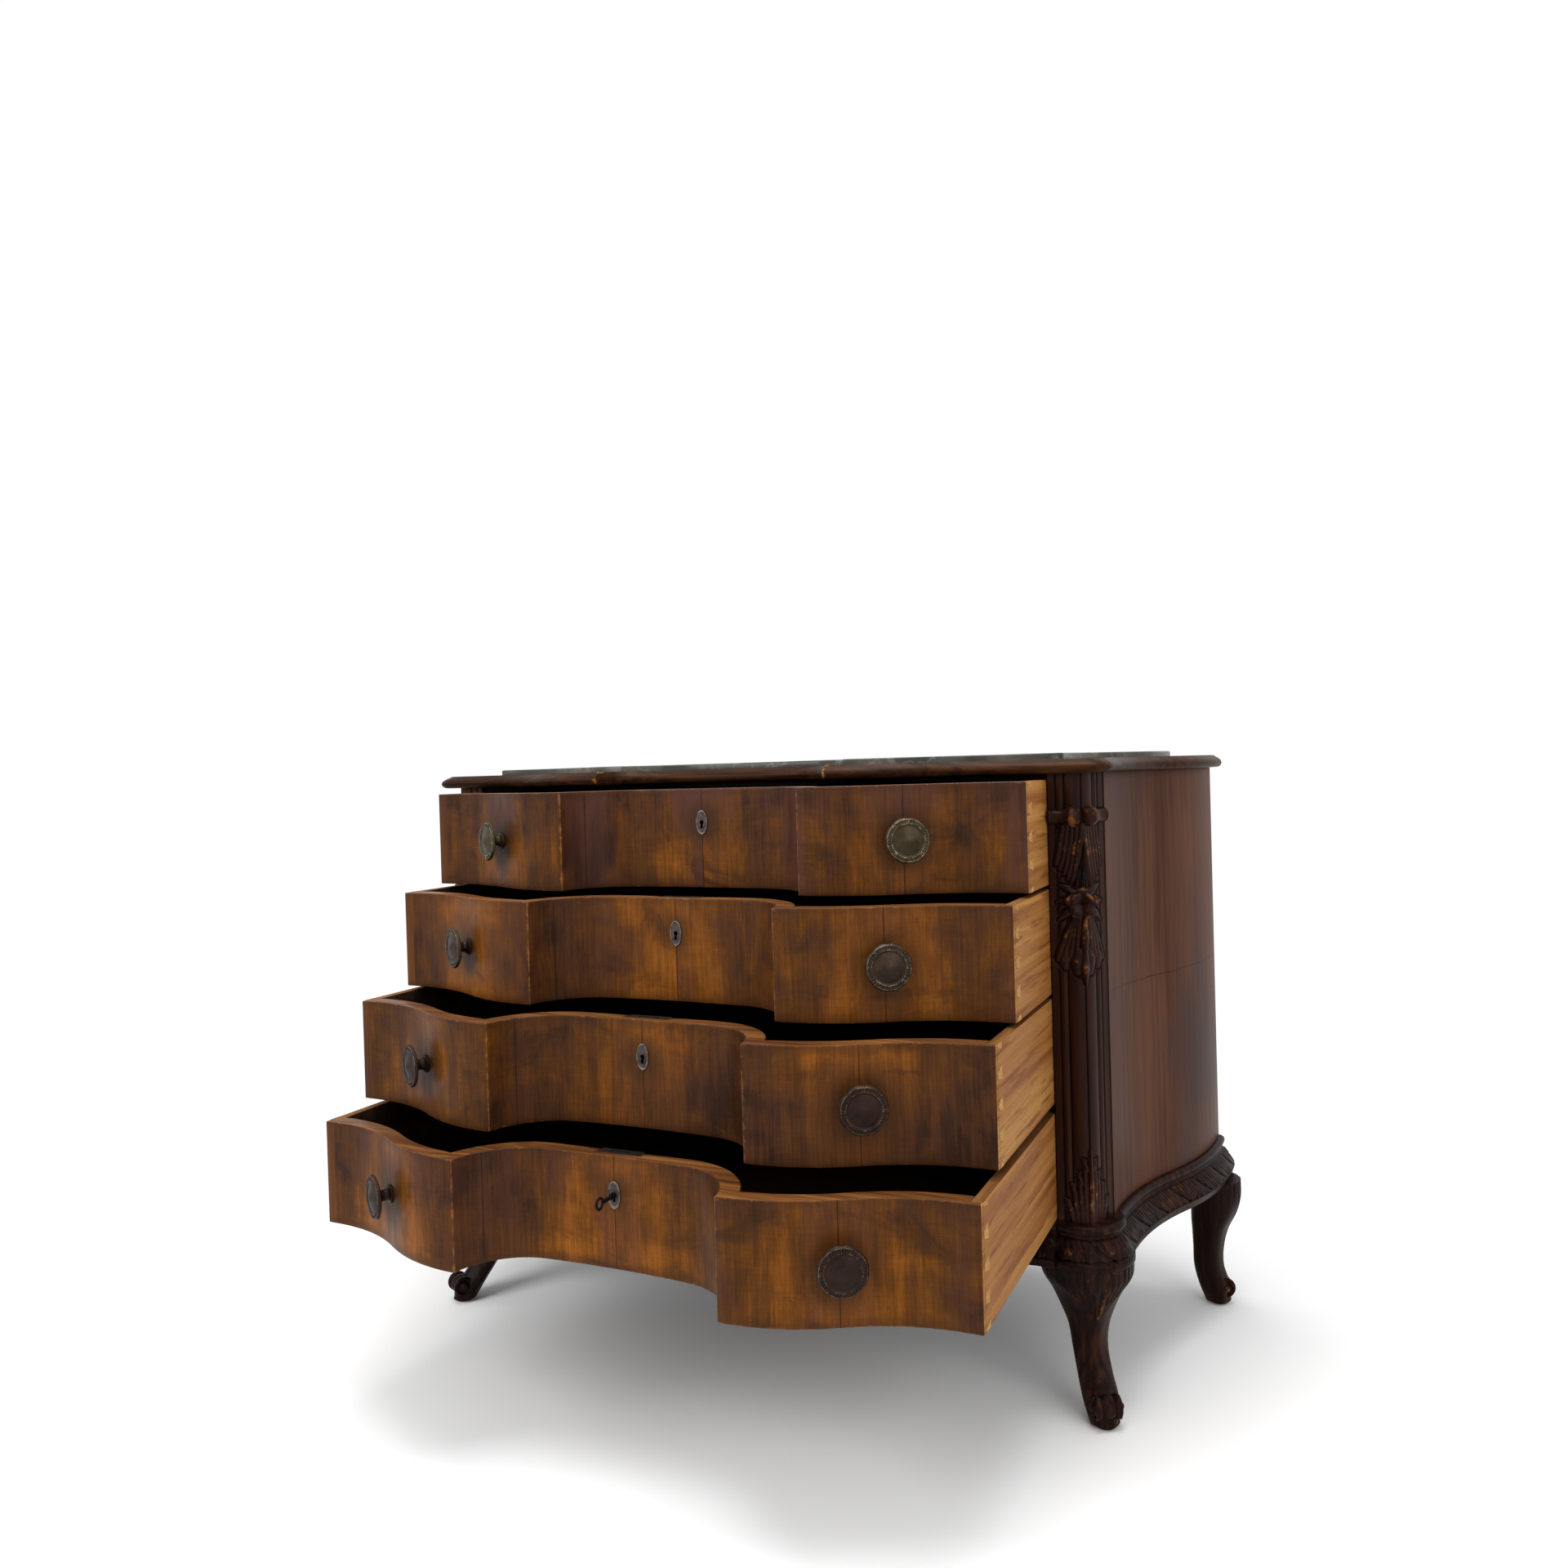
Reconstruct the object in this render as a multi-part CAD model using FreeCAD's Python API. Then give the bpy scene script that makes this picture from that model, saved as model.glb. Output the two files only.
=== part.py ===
"""Serpentine chest of drawers: a flared case on cabriole legs with four lockable drawers, drawn partly open.

Sizes are in millimetres and angles in degrees. +X is the chest's right as seen from in front, +Y is its
back and +Z is up. While the pieces are drawn, y = 0 is the front line: the plane of the corner posts' faces
and of the ends of the closed drawer fronts. At export everything moves so that the origin lies on the floor
under the middle of the whole chest as it stands with its drawers open.
"""
import FreeCAD, Part
import math
import os
from FreeCAD import Vector

os.makedirs("parts", exist_ok=True)

# Drawers, counted from the top
drawer_width = 920
drawer_height = 138.5
drawer_back_gap = 5
rest_pull_shares = [0.242, 0.427, 0.639, 0.808]
front_thickness = 25
side_thickness = 13
back_thickness = 13
bottom_thickness = 7
bottom_rise = 10
groove_depth = 6
front_lap = 8
tail_count = 4
pin_narrow = 9
pin_wide = 17

# Serpentine plan of the fronts, measured from the front line
centre_recess = 7
bay_half_width = 100
bay_edge_recess = 3
return_mid_x = 163
return_mid_reach = 30
break_x = 181
crest_reach = 74.5
wing_flat = 15

# Running clearances of the drawers
side_gap = 2
run_gap = 0.3
head_gap = 0.5

# Knobs
knob_radius = 28.5
knob_reach = 28
knob_screw_radius = 3
knob_screw_length = 16
knob_shares = [(0.41, 0.0), (0.41, 0.1), (0.26, 0.2), (0.24, 0.36), (0.37, 0.58), (0.85, 0.66),
               (1.0, 0.74), (0.96, 0.83), (0.37, 0.86), (0.0, 1.0)]

# Escutcheons, locks and the key
escutcheon_width = 18
escutcheon_height = 35
escutcheon_thickness = 2
keyhole_drop = 47.25
keyhole_radius = 3.2
keyhole_slot_width = 3.6
keyhole_slot_drop = 11
lock_width = 60
lock_height = 64
lock_depth = 14
lock_wall = 2.5
bolt_width = 28
bolt_height = 33
bolt_thickness = 6
bolt_sink = 0.5
bolt_fit = 0.4
bolt_slot_room = 1.5
key_shank_radius = 2.6
key_bit_height = 10
key_bit_thickness = 2.4
key_bit_width = 6
key_bit_gap = 1.5
key_tip_gap = 0.8
key_bow_radius = 6.6
key_bow_wire_radius = 1.7
key_bow_reach = 31
key_collar_radius = 4
key_collar_length = 3
key_collar_gap = 2

# Case
case_depth = 455
dust_board_thickness = 5.2
lower_board_thickness = 12.2
upper_deck_thickness = 7.5
bottom_board_thickness = 12.7
bottom_board_stand = 1.7
board_set_back = 10
housing_depth = 6
back_panel_thickness = 12
inner_side_thickness = 10
side_panel_thickness = 18
inside_corner_radius = 8
post_width = 65
post_depth = 45
post_arris_width = 45
side_flare = 94.5
rear_post_width = 35
rear_post_depth = 38

# Top
top_thickness = 19
top_overhang = 18
top_corner_radius = 30
top_nose_under_height = 6
top_nose_under_inset = 6
top_nose_flat = 3
top_nose_slope_inset = 12
marble_thickness = 20
marble_stand = 8.5
marble_inset = 74
marble_corner_radius = 14
marble_back_inset = 24

# Base mouldings: what they project beyond the faces above them
base_height = 56
base_bead_height = 13
base_bead_reach = 8
base_cove_height = 4
base_cove_reach = 4
base_frieze_foot_height = 11
base_frieze_reach = 24
base_foot_reach = 19
base_thickness = 30

# Legs
leg_height = 197
front_leg_inset = 38
front_leg_set_back = 39
front_leg_knee_radius = 61
front_toe_angle = 60
front_toe_reach = 60
back_leg_inset = 3
back_leg_set_in = 39
back_leg_knee_radius = 38
back_toe_angle = -25
back_toe_reach = 1
back_ankle_draw = 13
leg_ring_height = 10
leg_ring_proud = 3
leg_drum_top_radius = 48
ankle_radius = 20.5
toe_scroll_radius = 15.5
toe_scroll_height = 27
toe_scroll_width = 40
toe_scroll_lead = 6
front_leg_shares = [(1.0, 0.0, 1.0), (0.91, 0.02, 0.97), (0.8, 0.07, 0.74), (0.69, 0.08, 0.57),
                    (0.58, 0.09, 0.44)]
front_ankle_shares = [(0.4, 0.15, 1.02), (0.27, 0.4, 1.0), (0.14, 0.75, 1.05)]
back_leg_shares = [(1.0, 0.0, 1.0), (0.88, 0.0, 0.99), (0.72, -0.35, 0.84), (0.6, -0.75, 0.66)]
back_ankle_shares = [(0.46, -1.0, 1.04), (0.3, -1.0, 1.0), (0.15, -0.4, 1.05)]
pad_share = 0.8

# Heights that follow from the sizes above
board_gaps = [dust_board_thickness, dust_board_thickness, lower_board_thickness]
base_top_height = leg_height + base_height
bottom_top = base_top_height + bottom_board_stand
bottom_low = bottom_top - bottom_board_thickness
drawer_bottoms = [bottom_top + run_gap]
for thickness in reversed(board_gaps):
    drawer_bottoms.insert(0, drawer_bottoms[0] + drawer_height + head_gap + thickness + run_gap)
deck_under = drawer_bottoms[0] + drawer_height + head_gap
top_under = deck_under + upper_deck_thickness
top_upper = top_under + top_thickness

# Places in plan that follow from the sizes above
drawer_half = drawer_width / 2
opening_half = drawer_half + side_gap
wing_end_x = drawer_half - wing_flat
post_outer_x = opening_half + post_width
front_leg_x = post_outer_x - front_leg_inset
back_leg_x = post_outer_x + side_flare - back_leg_inset
back_leg_y = case_depth - back_leg_set_in
front_inner_y = centre_recess + front_thickness
lock_y = front_inner_y - lock_depth
bolt_y = lock_y + (lock_depth - bolt_thickness) / 2
inner_depth = case_depth - back_panel_thickness
drawer_length = inner_depth - drawer_back_gap
rest_pulls = [share * drawer_length for share in rest_pull_shares]
rest_front = -(rest_pulls[-1] + crest_reach)
origin_y = (rest_front + case_depth) / 2
up = Vector(0, 0, 1)
along_x = Vector(1, 0, 0)
along_y = Vector(0, 1, 0)


def box(x0, x1, y0, y1, z0, z1):
    return Part.makeBox(x1 - x0, y1 - y0, z1 - z0, Vector(x0, y0, z0))


def prism(edges, z0, z1):
    solid = Part.Face(Part.Wire(Part.__sortEdges__(edges))).extrude(up * (z1 - z0))
    solid.translate(up * z0)
    return solid


def mirrored(shape):
    return shape.mirror(Vector(0, 0, 0), along_x)


def both_sides(edges):
    return [mirrored(edge) for edge in edges] + edges


def segment(start, finish):
    return Part.LineSegment(start, finish).toShape()


def arc(start, middle, finish):
    return Part.Arc(start, middle, finish).toShape()


def chain(points):
    return [segment(start, finish) for start, finish in zip(points, points[1:])]


def ogee(start, finish, along):
    """Two equal tangent arcs from start to finish, with both ends running in the direction along."""
    span = finish - start
    run = span.dot(along)
    across = span - along * run
    rise = across.Length
    radius = (run ** 2 + rise ** 2) / (4 * rise)
    turn = math.asin(run / (2 * radius))
    bulge = along * (radius * math.sin(turn / 2)) + across / rise * (radius * (1 - math.cos(turn / 2)))
    middle = (start + finish) / 2
    return [arc(start, start + bulge, middle), arc(middle, finish - bulge, finish)], turn


def circle_meet(centre_a, radius_a, centre_b, radius_b):
    """The two points where two circles in one level plane cross."""
    span = centre_b - centre_a
    along = (radius_a ** 2 - radius_b ** 2 + span.Length ** 2) / (2 * span.Length)
    across = math.sqrt(radius_a ** 2 - along ** 2)
    foot = centre_a + span / span.Length * along
    square = up.cross(span / span.Length) * across
    return foot + square, foot - square


# Serpentine front plan

def serpentine(forward):
    """Edges of the outer serpentine from the left wing's end to the right one's, moved forward."""
    shift = Vector(0, -forward, 0)
    centre = Vector(0, centre_recess, 0) + shift
    bay = Vector(bay_half_width, bay_edge_recess, 0) + shift
    turn_point = Vector(return_mid_x, -return_mid_reach, 0) + shift
    crest = Vector(break_x, -crest_reach, 0) + shift
    wing_end = Vector(wing_end_x, 0, 0) + shift
    wing, _ = ogee(crest, wing_end, along_x)
    half = [arc(bay, turn_point, crest)] + wing
    return both_sides(half) + [arc(Vector(-bay.x, bay.y, 0), centre, bay)]


def inner_serpentine(forward):
    """The serpentine of the fronts' inner faces, of even thickness round the sharp breaks."""
    shift = Vector(0, front_thickness - forward, 0)
    bay = Vector(bay_half_width, bay_edge_recess, 0)
    turn_point = Vector(return_mid_x, -return_mid_reach, 0)
    crest = Vector(break_x, -crest_reach, 0)
    return_arc = arc(bay, turn_point, crest).Curve
    wing_end = Vector(wing_end_x, 0, 0) + shift
    wing, _ = ogee(crest + shift, wing_end, along_x)
    wing_arc = wing[0].Curve
    return_radius = return_arc.Radius + front_thickness
    return_centre = return_arc.Center - Vector(0, forward, 0)
    corners = circle_meet(return_centre, return_radius, wing_arc.Center, wing_arc.Radius)
    corner = max(corners, key=lambda point: -point.y)
    bay_x = return_centre.x
    bay_inner = Vector(bay_x, return_centre.y + return_radius, 0)
    toward = (corner - return_centre).normalize() + (bay_inner - return_centre).normalize()
    bend = return_centre + toward.normalize() * return_radius
    wing_turn = (wing[0].Vertexes[-1].Point - wing_arc.Center).normalize()
    wing_half = ((corner - wing_arc.Center).normalize() + wing_turn).normalize()
    wing_point = wing_arc.Center + wing_half * wing_arc.Radius
    half = [arc(bay_inner, bend, corner), arc(corner, wing_point, wing[0].Vertexes[-1].Point), wing[1]]
    return both_sides(half) + [segment(Vector(-bay_x, bay_inner.y, 0), bay_inner)]


def front_prism(edges, half_width, end_y, back_y, z0, z1):
    """A solid behind a serpentine, closed by square ends and a straight back."""
    end = [Vector(wing_end_x, end_y, 0), Vector(half_width, end_y, 0), Vector(half_width, back_y, 0)]
    back = segment(Vector(-half_width, back_y, 0), Vector(half_width, back_y, 0))
    return prism(edges + both_sides(chain(end)) + [back], z0, z1)


# Case plan

def side_curve(reach, start_y=post_depth):
    """The flared side from the post's back edge, or another depth, to the case's back, moved out by reach."""
    start = Vector(post_outer_x + reach, start_y, 0)
    finish = Vector(post_outer_x + side_flare + reach, case_depth, 0)
    edges, _ = ogee(start, finish, along_y)
    return edges


def case_outline(overhang, corner_radius):
    """The whole case's plan with an even overhang at the front and the sides."""
    side_x = post_outer_x + overhang
    corner_start = Vector(side_x - corner_radius, -overhang, 0)
    corner_finish = Vector(side_x, corner_radius - overhang, 0)
    diagonal = corner_radius * math.sqrt(0.5)
    corner_middle = Vector(side_x - corner_radius + diagonal, corner_radius - overhang - diagonal, 0)
    side_start = Vector(side_x, max(post_depth, corner_finish.y), 0)
    half = [segment(Vector(wing_end_x, -overhang, 0), corner_start)]
    half += [arc(corner_start, corner_middle, corner_finish)]
    if side_start.y > corner_finish.y:
        half.append(segment(corner_finish, side_start))
    half += side_curve(overhang, side_start.y)
    edges = serpentine(overhang) + both_sides(half)
    back_x = side_x + side_flare
    edges.append(segment(Vector(-back_x, case_depth, 0), Vector(back_x, case_depth, 0)))
    return edges


def case_prism(overhang, corner_radius, z0, z1):
    return prism(case_outline(overhang, corner_radius), z0, z1)


def raised_wire(edges, height):
    wire = Part.Wire(Part.__sortEdges__(edges))
    wire.translate(up * height)
    return wire


def case_band(z0, overhang0, z1, overhang1):
    """A slice of the case's plan whose overhang changes evenly with height."""
    lower = raised_wire(case_outline(overhang0, top_corner_radius), z0)
    upper = raised_wire(case_outline(overhang1, top_corner_radius), z1)
    return Part.makeLoft([lower, upper], True, True)


def joined(shapes):
    return shapes[0].multiFuse(shapes[1:]).removeSplitter()


case_inside = case_prism(-side_panel_thickness, inside_corner_radius, bottom_low, top_under)


# Drawer pieces, drawn closed

def drawer_side(z0):
    z1 = z0 + drawer_height
    board = box(drawer_half - side_thickness, drawer_half, front_lap, drawer_length, z0, z1)
    pitch = drawer_height / tail_count
    for index in range(tail_count + 1):
        middle = z0 + index * pitch
        corners = [Vector(drawer_half, front_lap, middle - pin_narrow / 2),
                   Vector(drawer_half, front_lap, middle + pin_narrow / 2),
                   Vector(drawer_half, front_thickness, middle + pin_wide / 2),
                   Vector(drawer_half, front_thickness, middle - pin_wide / 2)]
        pin = Part.Face(Part.Wire(chain(corners + corners[:1]))).extrude(Vector(-side_thickness, 0, 0))
        board = board.cut(pin)
    return board


def drawer_bottom(z0):
    half = drawer_half - side_thickness + groove_depth
    edges = inner_serpentine(groove_depth)
    end_y = front_thickness - groove_depth
    low = z0 + bottom_rise
    return front_prism(edges, half, end_y, drawer_length - back_thickness, low, low + bottom_thickness)


def drawer_back(z0):
    half = drawer_half - side_thickness
    low = z0 + bottom_rise
    return box(-half, half, drawer_length - back_thickness, drawer_length, low, z0 + drawer_height)


def knob_solid(z):
    outline = [Vector(radius * knob_radius, 0, reach * knob_reach) for radius, reach in knob_shares]
    outline = [Vector(0, 0, 0)] + outline
    turned = Part.Face(Part.Wire(chain(outline + outline[:1]))).revolve(Vector(0, 0, 0), up, 360)
    screw = Part.makeCylinder(knob_screw_radius, knob_screw_length, Vector(0, 0, -knob_screw_length))
    knob = joined([turned, screw])
    crest = Vector(break_x, -crest_reach, 0)
    wing_end = Vector(wing_end_x, 0, 0)
    _, turn = ogee(crest, wing_end, along_x)
    knob.rotate(Vector(0, 0, 0), along_x, 90)
    knob.rotate(Vector(0, 0, 0), up, math.degrees(turn))
    knob.translate((crest + wing_end) / 2 + up * z)
    return knob


def keyhole(y0, y1, z):
    hole = Part.makeCylinder(keyhole_radius, y1 - y0, Vector(0, y0, z), along_y)
    half = keyhole_slot_width / 2
    return joined([hole, box(-half, half, y0, y1, z - keyhole_slot_drop, z)])


def escutcheon_plate(z):
    plate = Part.makeCylinder(escutcheon_height / 2, escutcheon_thickness)
    squeeze = FreeCAD.Matrix()
    squeeze.scale(Vector(escutcheon_width / escutcheon_height, 1, 1))
    plate = plate.transformGeometry(squeeze)
    plate.rotate(Vector(0, 0, 0), along_x, 90)
    plate.translate(Vector(0, centre_recess, z))
    return plate


def lock_block(top):
    half = lock_width / 2
    return box(-half, half, lock_y, front_inner_y, top - lock_height, top)


def bolt_solid(top):
    half = bolt_width / 2
    head = top - bolt_sink
    return box(-half, half, bolt_y, bolt_y + bolt_thickness, head - bolt_height, head)


def lock_solid(top, key_z):
    half = lock_width / 2 - lock_wall
    floor = top - lock_height + lock_wall
    cavity = box(-half, half, lock_y + lock_wall, front_inner_y - lock_wall, floor, top - lock_wall)
    slot_half = bolt_width / 2 + bolt_fit
    slot_back = bolt_y + bolt_thickness + bolt_fit
    slot = box(-slot_half, slot_half, bolt_y - bolt_fit, slot_back, top - lock_wall, top)
    return lock_block(top).cut(cavity).cut(slot).cut(keyhole(lock_y, lock_y + lock_wall, key_z))


def key_solid(key_z):
    face_y = centre_recess - escutcheon_thickness
    bow_y = face_y - key_bow_reach
    tip_y = front_inner_y - lock_wall - key_tip_gap
    shank_y = bow_y + key_bow_radius
    shank = Part.makeCylinder(key_shank_radius, tip_y - shank_y, Vector(0, shank_y, key_z), along_y)
    bow = Part.makeTorus(key_bow_radius, key_bow_wire_radius, Vector(0, bow_y, key_z), along_x)
    collar_y = face_y - key_collar_gap - key_collar_length
    collar = Part.makeCylinder(key_collar_radius, key_collar_length, Vector(0, collar_y, key_z), along_y)
    bit_y = lock_y + lock_wall + key_bit_gap
    half = key_bit_thickness / 2
    bit = box(-half, half, bit_y, bit_y + key_bit_width, key_z - key_bit_height, key_z)
    return joined([shank, bow, collar, bit])


def drawer_front(z0, key_z, fitted):
    """The shaped front with its dovetail sockets, groove, lock recess, keyhole and knob seats."""
    z1 = z0 + drawer_height
    outer = front_prism(serpentine(0), drawer_half, 0, drawer_length, z0, z1)
    inner = front_prism(inner_serpentine(0), drawer_half, front_thickness, drawer_length, z0, z1)
    front = outer.cut(inner).cut(keyhole(centre_recess - escutcheon_thickness, front_inner_y, key_z))
    for piece in fitted:
        front = front.cut(piece)
    return front


def build_drawer(index):
    z0 = drawer_bottoms[index]
    top = z0 + drawer_height
    middle = z0 + drawer_height / 2
    key_z = top - keyhole_drop
    bottom = drawer_bottom(z0)
    side = drawer_side(z0).cut(bottom)
    knob = knob_solid(middle)
    plate = escutcheon_plate(key_z)
    fitted = [side, mirrored(side), bottom, knob, mirrored(knob), plate, lock_block(top)]
    pieces = {
        "front": drawer_front(z0, key_z, fitted),
        "side_left": mirrored(side),
        "side_right": side,
        "back": drawer_back(z0).cut(bottom),
        "bottom": bottom,
        "knobs": Part.makeCompound([mirrored(knob), knob]),
        "escutcheon": plate.cut(keyhole(centre_recess - escutcheon_thickness, front_inner_y, key_z)),
        "lock_case": lock_solid(top, key_z),
        "lock_bolt": bolt_solid(top),
    }
    named = {f"drawer_{index + 1}_{name}": shape for name, shape in pieces.items()}
    if index == len(rest_pulls) - 1:
        named["key"] = key_solid(key_z)
    for shape in named.values():
        shape.translate(Vector(0, -rest_pulls[index], 0))
    return named


# Case pieces

def board(z0, z1):
    """A board housed in the posts and the inner sides, with a mortise for the lock bolt below it."""
    half = opening_half + housing_depth
    slab = box(-half, half, board_set_back, inner_depth, z0, z1)
    slot_half = bolt_width / 2 + bolt_slot_room
    slot_back = bolt_y + bolt_thickness + bolt_slot_room
    slot = box(-slot_half, slot_half, bolt_y - bolt_slot_room, slot_back, z0, z1)
    return slab.cut(slot)


def build_boards():
    names = ["dust_board_upper", "dust_board_middle", "dust_board_lower"]
    boards = {}
    for name, below, thickness in zip(names, drawer_bottoms[1:], board_gaps):
        low = below + drawer_height + head_gap
        boards[name] = board(low, low + thickness)
    boards["upper_deck"] = board(deck_under, top_under)
    return boards


def corner_post():
    """A post with one face to the front and one that slants back from an arris to the side panel."""
    arris = Vector(opening_half + post_arris_width, 0, 0)
    back = [Vector(post_outer_x, post_depth, 0), Vector(opening_half, post_depth, 0), Vector(opening_half, 0, 0)]
    return prism(chain([arris] + back + [arris]), base_top_height, top_under)


def side_panel():
    outer = side_curve(0)
    inner = side_curve(-side_panel_thickness)
    front = segment(inner[0].Vertexes[0].Point, outer[0].Vertexes[0].Point)
    back = segment(inner[1].Vertexes[-1].Point, outer[1].Vertexes[-1].Point)
    return prism(outer + inner + [front, back], base_top_height, top_under)


def rear_post():
    outer = post_outer_x + side_flare
    x0 = outer - side_panel_thickness - rear_post_width
    block = box(x0, outer, inner_depth - rear_post_depth, inner_depth, bottom_top, top_under)
    return block.common(case_inside)


def base_side_band(z0, reach0, z1, reach1):
    wires = []
    for z, reach in ((z0, reach0), (z1, reach1)):
        outer = side_curve(reach)
        inner = side_curve(-base_thickness)
        front = segment(inner[0].Vertexes[0].Point, outer[0].Vertexes[0].Point)
        back = segment(inner[1].Vertexes[-1].Point, outer[1].Vertexes[-1].Point)
        wires.append(raised_wire(outer + inner + [front, back], z))
    return Part.makeLoft(wires, True, True)


def base_front_band(z0, reach0, z1, reach1):
    wires = []
    for z, reach in ((z0, reach0), (z1, reach1)):
        ends = both_sides(chain([Vector(wing_end_x, -reach, 0), Vector(drawer_half, -reach, 0),
                                 Vector(drawer_half, base_thickness, 0)]))
        back = segment(Vector(-drawer_half, base_thickness, 0), Vector(drawer_half, base_thickness, 0))
        wires.append(raised_wire(serpentine(reach) + ends + [back], z))
    return Part.makeLoft(wires, True, True)


bead_under = base_top_height - base_bead_height
cove_under = bead_under - base_cove_height
frieze_under = leg_height + base_frieze_foot_height
base_levels = [(leg_height, base_foot_reach, frieze_under, base_frieze_reach),
               (frieze_under, base_frieze_reach, cove_under, base_cove_reach),
               (cove_under, base_cove_reach, bead_under, base_cove_reach),
               (bead_under, base_bead_reach, base_top_height, base_bead_reach)]


def base_moulding(band):
    return joined([band(*level) for level in base_levels])


def toe_place(angle, reach):
    turn = math.radians(angle)
    return Vector(math.cos(turn) * reach, -math.sin(turn) * reach, 0)


def cabriole(sections, angle, reach):
    """A leg about the Z axis: round sections that swell at the knee and run down to a scrolled toe."""
    rings = []
    for z, out, radius in sections + [(0, reach, pad_share * ankle_radius)]:
        rings.append(Part.Wire(Part.makeCircle(radius, toe_place(angle, out) + up * z)))
    stem = Part.makeLoft(rings, True, True)
    across = toe_place(angle + 90, 1)
    middle = toe_place(angle, reach + toe_scroll_lead) + up * toe_scroll_height
    end = middle - across * (toe_scroll_width / 2)
    scroll = Part.makeCylinder(toe_scroll_radius, toe_scroll_width, end, across)
    return joined([stem, scroll])


def leg_sections(shares, out_length, radius):
    return [(rise * leg_height, out * out_length, width * radius) for rise, out, width in shares]


def front_leg():
    """A front leg with the round drum and ring that carry the corner post."""
    ring_top = leg_height + leg_ring_height
    ring_radius = front_leg_knee_radius + leg_ring_proud
    bead_radius = leg_drum_top_radius + base_cove_reach
    outline = [Vector(0, 0, leg_height), Vector(ring_radius, 0, leg_height),
               Vector(ring_radius, 0, ring_top), Vector(front_leg_knee_radius, 0, ring_top),
               Vector(leg_drum_top_radius, 0, cove_under), Vector(leg_drum_top_radius, 0, bead_under),
               Vector(bead_radius, 0, bead_under), Vector(bead_radius, 0, base_top_height),
               Vector(0, 0, base_top_height)]
    drum = Part.Face(Part.Wire(chain(outline + outline[:1]))).revolve(Vector(0, 0, 0), up, 360)
    sections = leg_sections(front_leg_shares, front_toe_reach, front_leg_knee_radius)
    sections += leg_sections(front_ankle_shares, front_toe_reach, ankle_radius)
    stem = cabriole(sections, front_toe_angle, front_toe_reach)
    leg = joined([drum, stem])
    leg.translate(Vector(front_leg_x, front_leg_set_back, 0))
    return leg


def back_leg():
    sections = leg_sections(back_leg_shares, back_ankle_draw, back_leg_knee_radius)
    sections += leg_sections(back_ankle_shares, back_ankle_draw, ankle_radius)
    leg = cabriole(sections, back_toe_angle, back_toe_reach)
    leg.translate(Vector(back_leg_x, back_leg_y, 0))
    return leg


def build_top():
    under_nose = top_under + top_nose_under_height
    over_nose = under_nose + top_nose_flat
    frame = joined([
        case_band(top_under, top_overhang - top_nose_under_inset, under_nose, top_overhang),
        case_band(under_nose, top_overhang, over_nose, top_overhang),
        case_band(over_nose, top_overhang, top_upper, top_overhang - top_nose_slope_inset)])
    marble_low = top_upper + marble_stand - marble_thickness
    marble_high = top_upper + marble_stand
    marble = case_prism(top_overhang - marble_inset, marble_corner_radius, marble_low, marble_high)
    half = post_outer_x + side_flare + top_overhang
    marble = marble.cut(box(-half, half, case_depth - marble_back_inset, case_depth, marble_low, marble_high))
    return {"top_frame": frame.cut(marble), "marble_slab": marble}


def build_case():
    boards = build_boards()
    post = corner_post()
    inner_side = box(opening_half, opening_half + inner_side_thickness, post_depth, inner_depth,
                     bottom_top, top_under)
    for slab in boards.values():
        post = post.cut(slab)
        inner_side = inner_side.cut(slab)
    panel = side_panel()
    corner = rear_post()
    half = post_outer_x + side_flare
    back = box(-half, half, inner_depth, case_depth, bottom_low, top_under).common(case_inside)
    floor = case_prism(-side_panel_thickness, inside_corner_radius, bottom_low, bottom_top)
    floor = floor.cut(post).cut(mirrored(post)).cut(back)
    leg = front_leg().cut(floor)
    base_side = base_moulding(base_side_band).cut(leg).cut(floor).cut(back)
    rear_leg = back_leg()
    pieces = dict(boards)
    pieces.update(build_top())
    pieces.update({"bottom_board": floor, "back_panel": back})
    pieces["base_front"] = base_moulding(base_front_band).cut(leg).cut(mirrored(leg)).cut(floor)
    paired = {"post": post, "side_panel": panel, "inner_side": inner_side, "rear_post": corner,
              "base": base_side, "leg_front": leg, "leg_back": rear_leg}
    for name, shape in paired.items():
        pieces[f"{name}_right"] = shape
        pieces[f"{name}_left"] = mirrored(shape)
    return pieces


def main():
    pieces = build_case()
    for index in range(len(rest_pulls)):
        pieces.update(build_drawer(index))
    for name, shape in pieces.items():
        shape.translate(Vector(0, -origin_y, 0))
        shape.exportStep(f"parts/{name}.step")


main()
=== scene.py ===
import math
import random

import bmesh
import bpy
import numpy as np
from mathutils import Matrix, Vector


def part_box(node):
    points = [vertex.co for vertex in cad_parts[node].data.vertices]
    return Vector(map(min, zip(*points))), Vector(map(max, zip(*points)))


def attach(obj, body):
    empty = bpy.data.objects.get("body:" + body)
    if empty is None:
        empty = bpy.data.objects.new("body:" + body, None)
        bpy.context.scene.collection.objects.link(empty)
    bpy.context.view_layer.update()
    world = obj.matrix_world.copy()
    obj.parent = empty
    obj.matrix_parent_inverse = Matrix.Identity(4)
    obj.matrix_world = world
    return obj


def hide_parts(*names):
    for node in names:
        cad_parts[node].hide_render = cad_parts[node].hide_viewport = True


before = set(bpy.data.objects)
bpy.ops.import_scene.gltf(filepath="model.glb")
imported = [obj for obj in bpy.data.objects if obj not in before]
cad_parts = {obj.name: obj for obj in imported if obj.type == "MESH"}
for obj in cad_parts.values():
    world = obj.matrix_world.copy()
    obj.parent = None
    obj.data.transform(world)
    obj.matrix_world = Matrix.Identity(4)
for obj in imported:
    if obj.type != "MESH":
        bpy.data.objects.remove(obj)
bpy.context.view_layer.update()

TAU = 2 * math.pi

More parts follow.
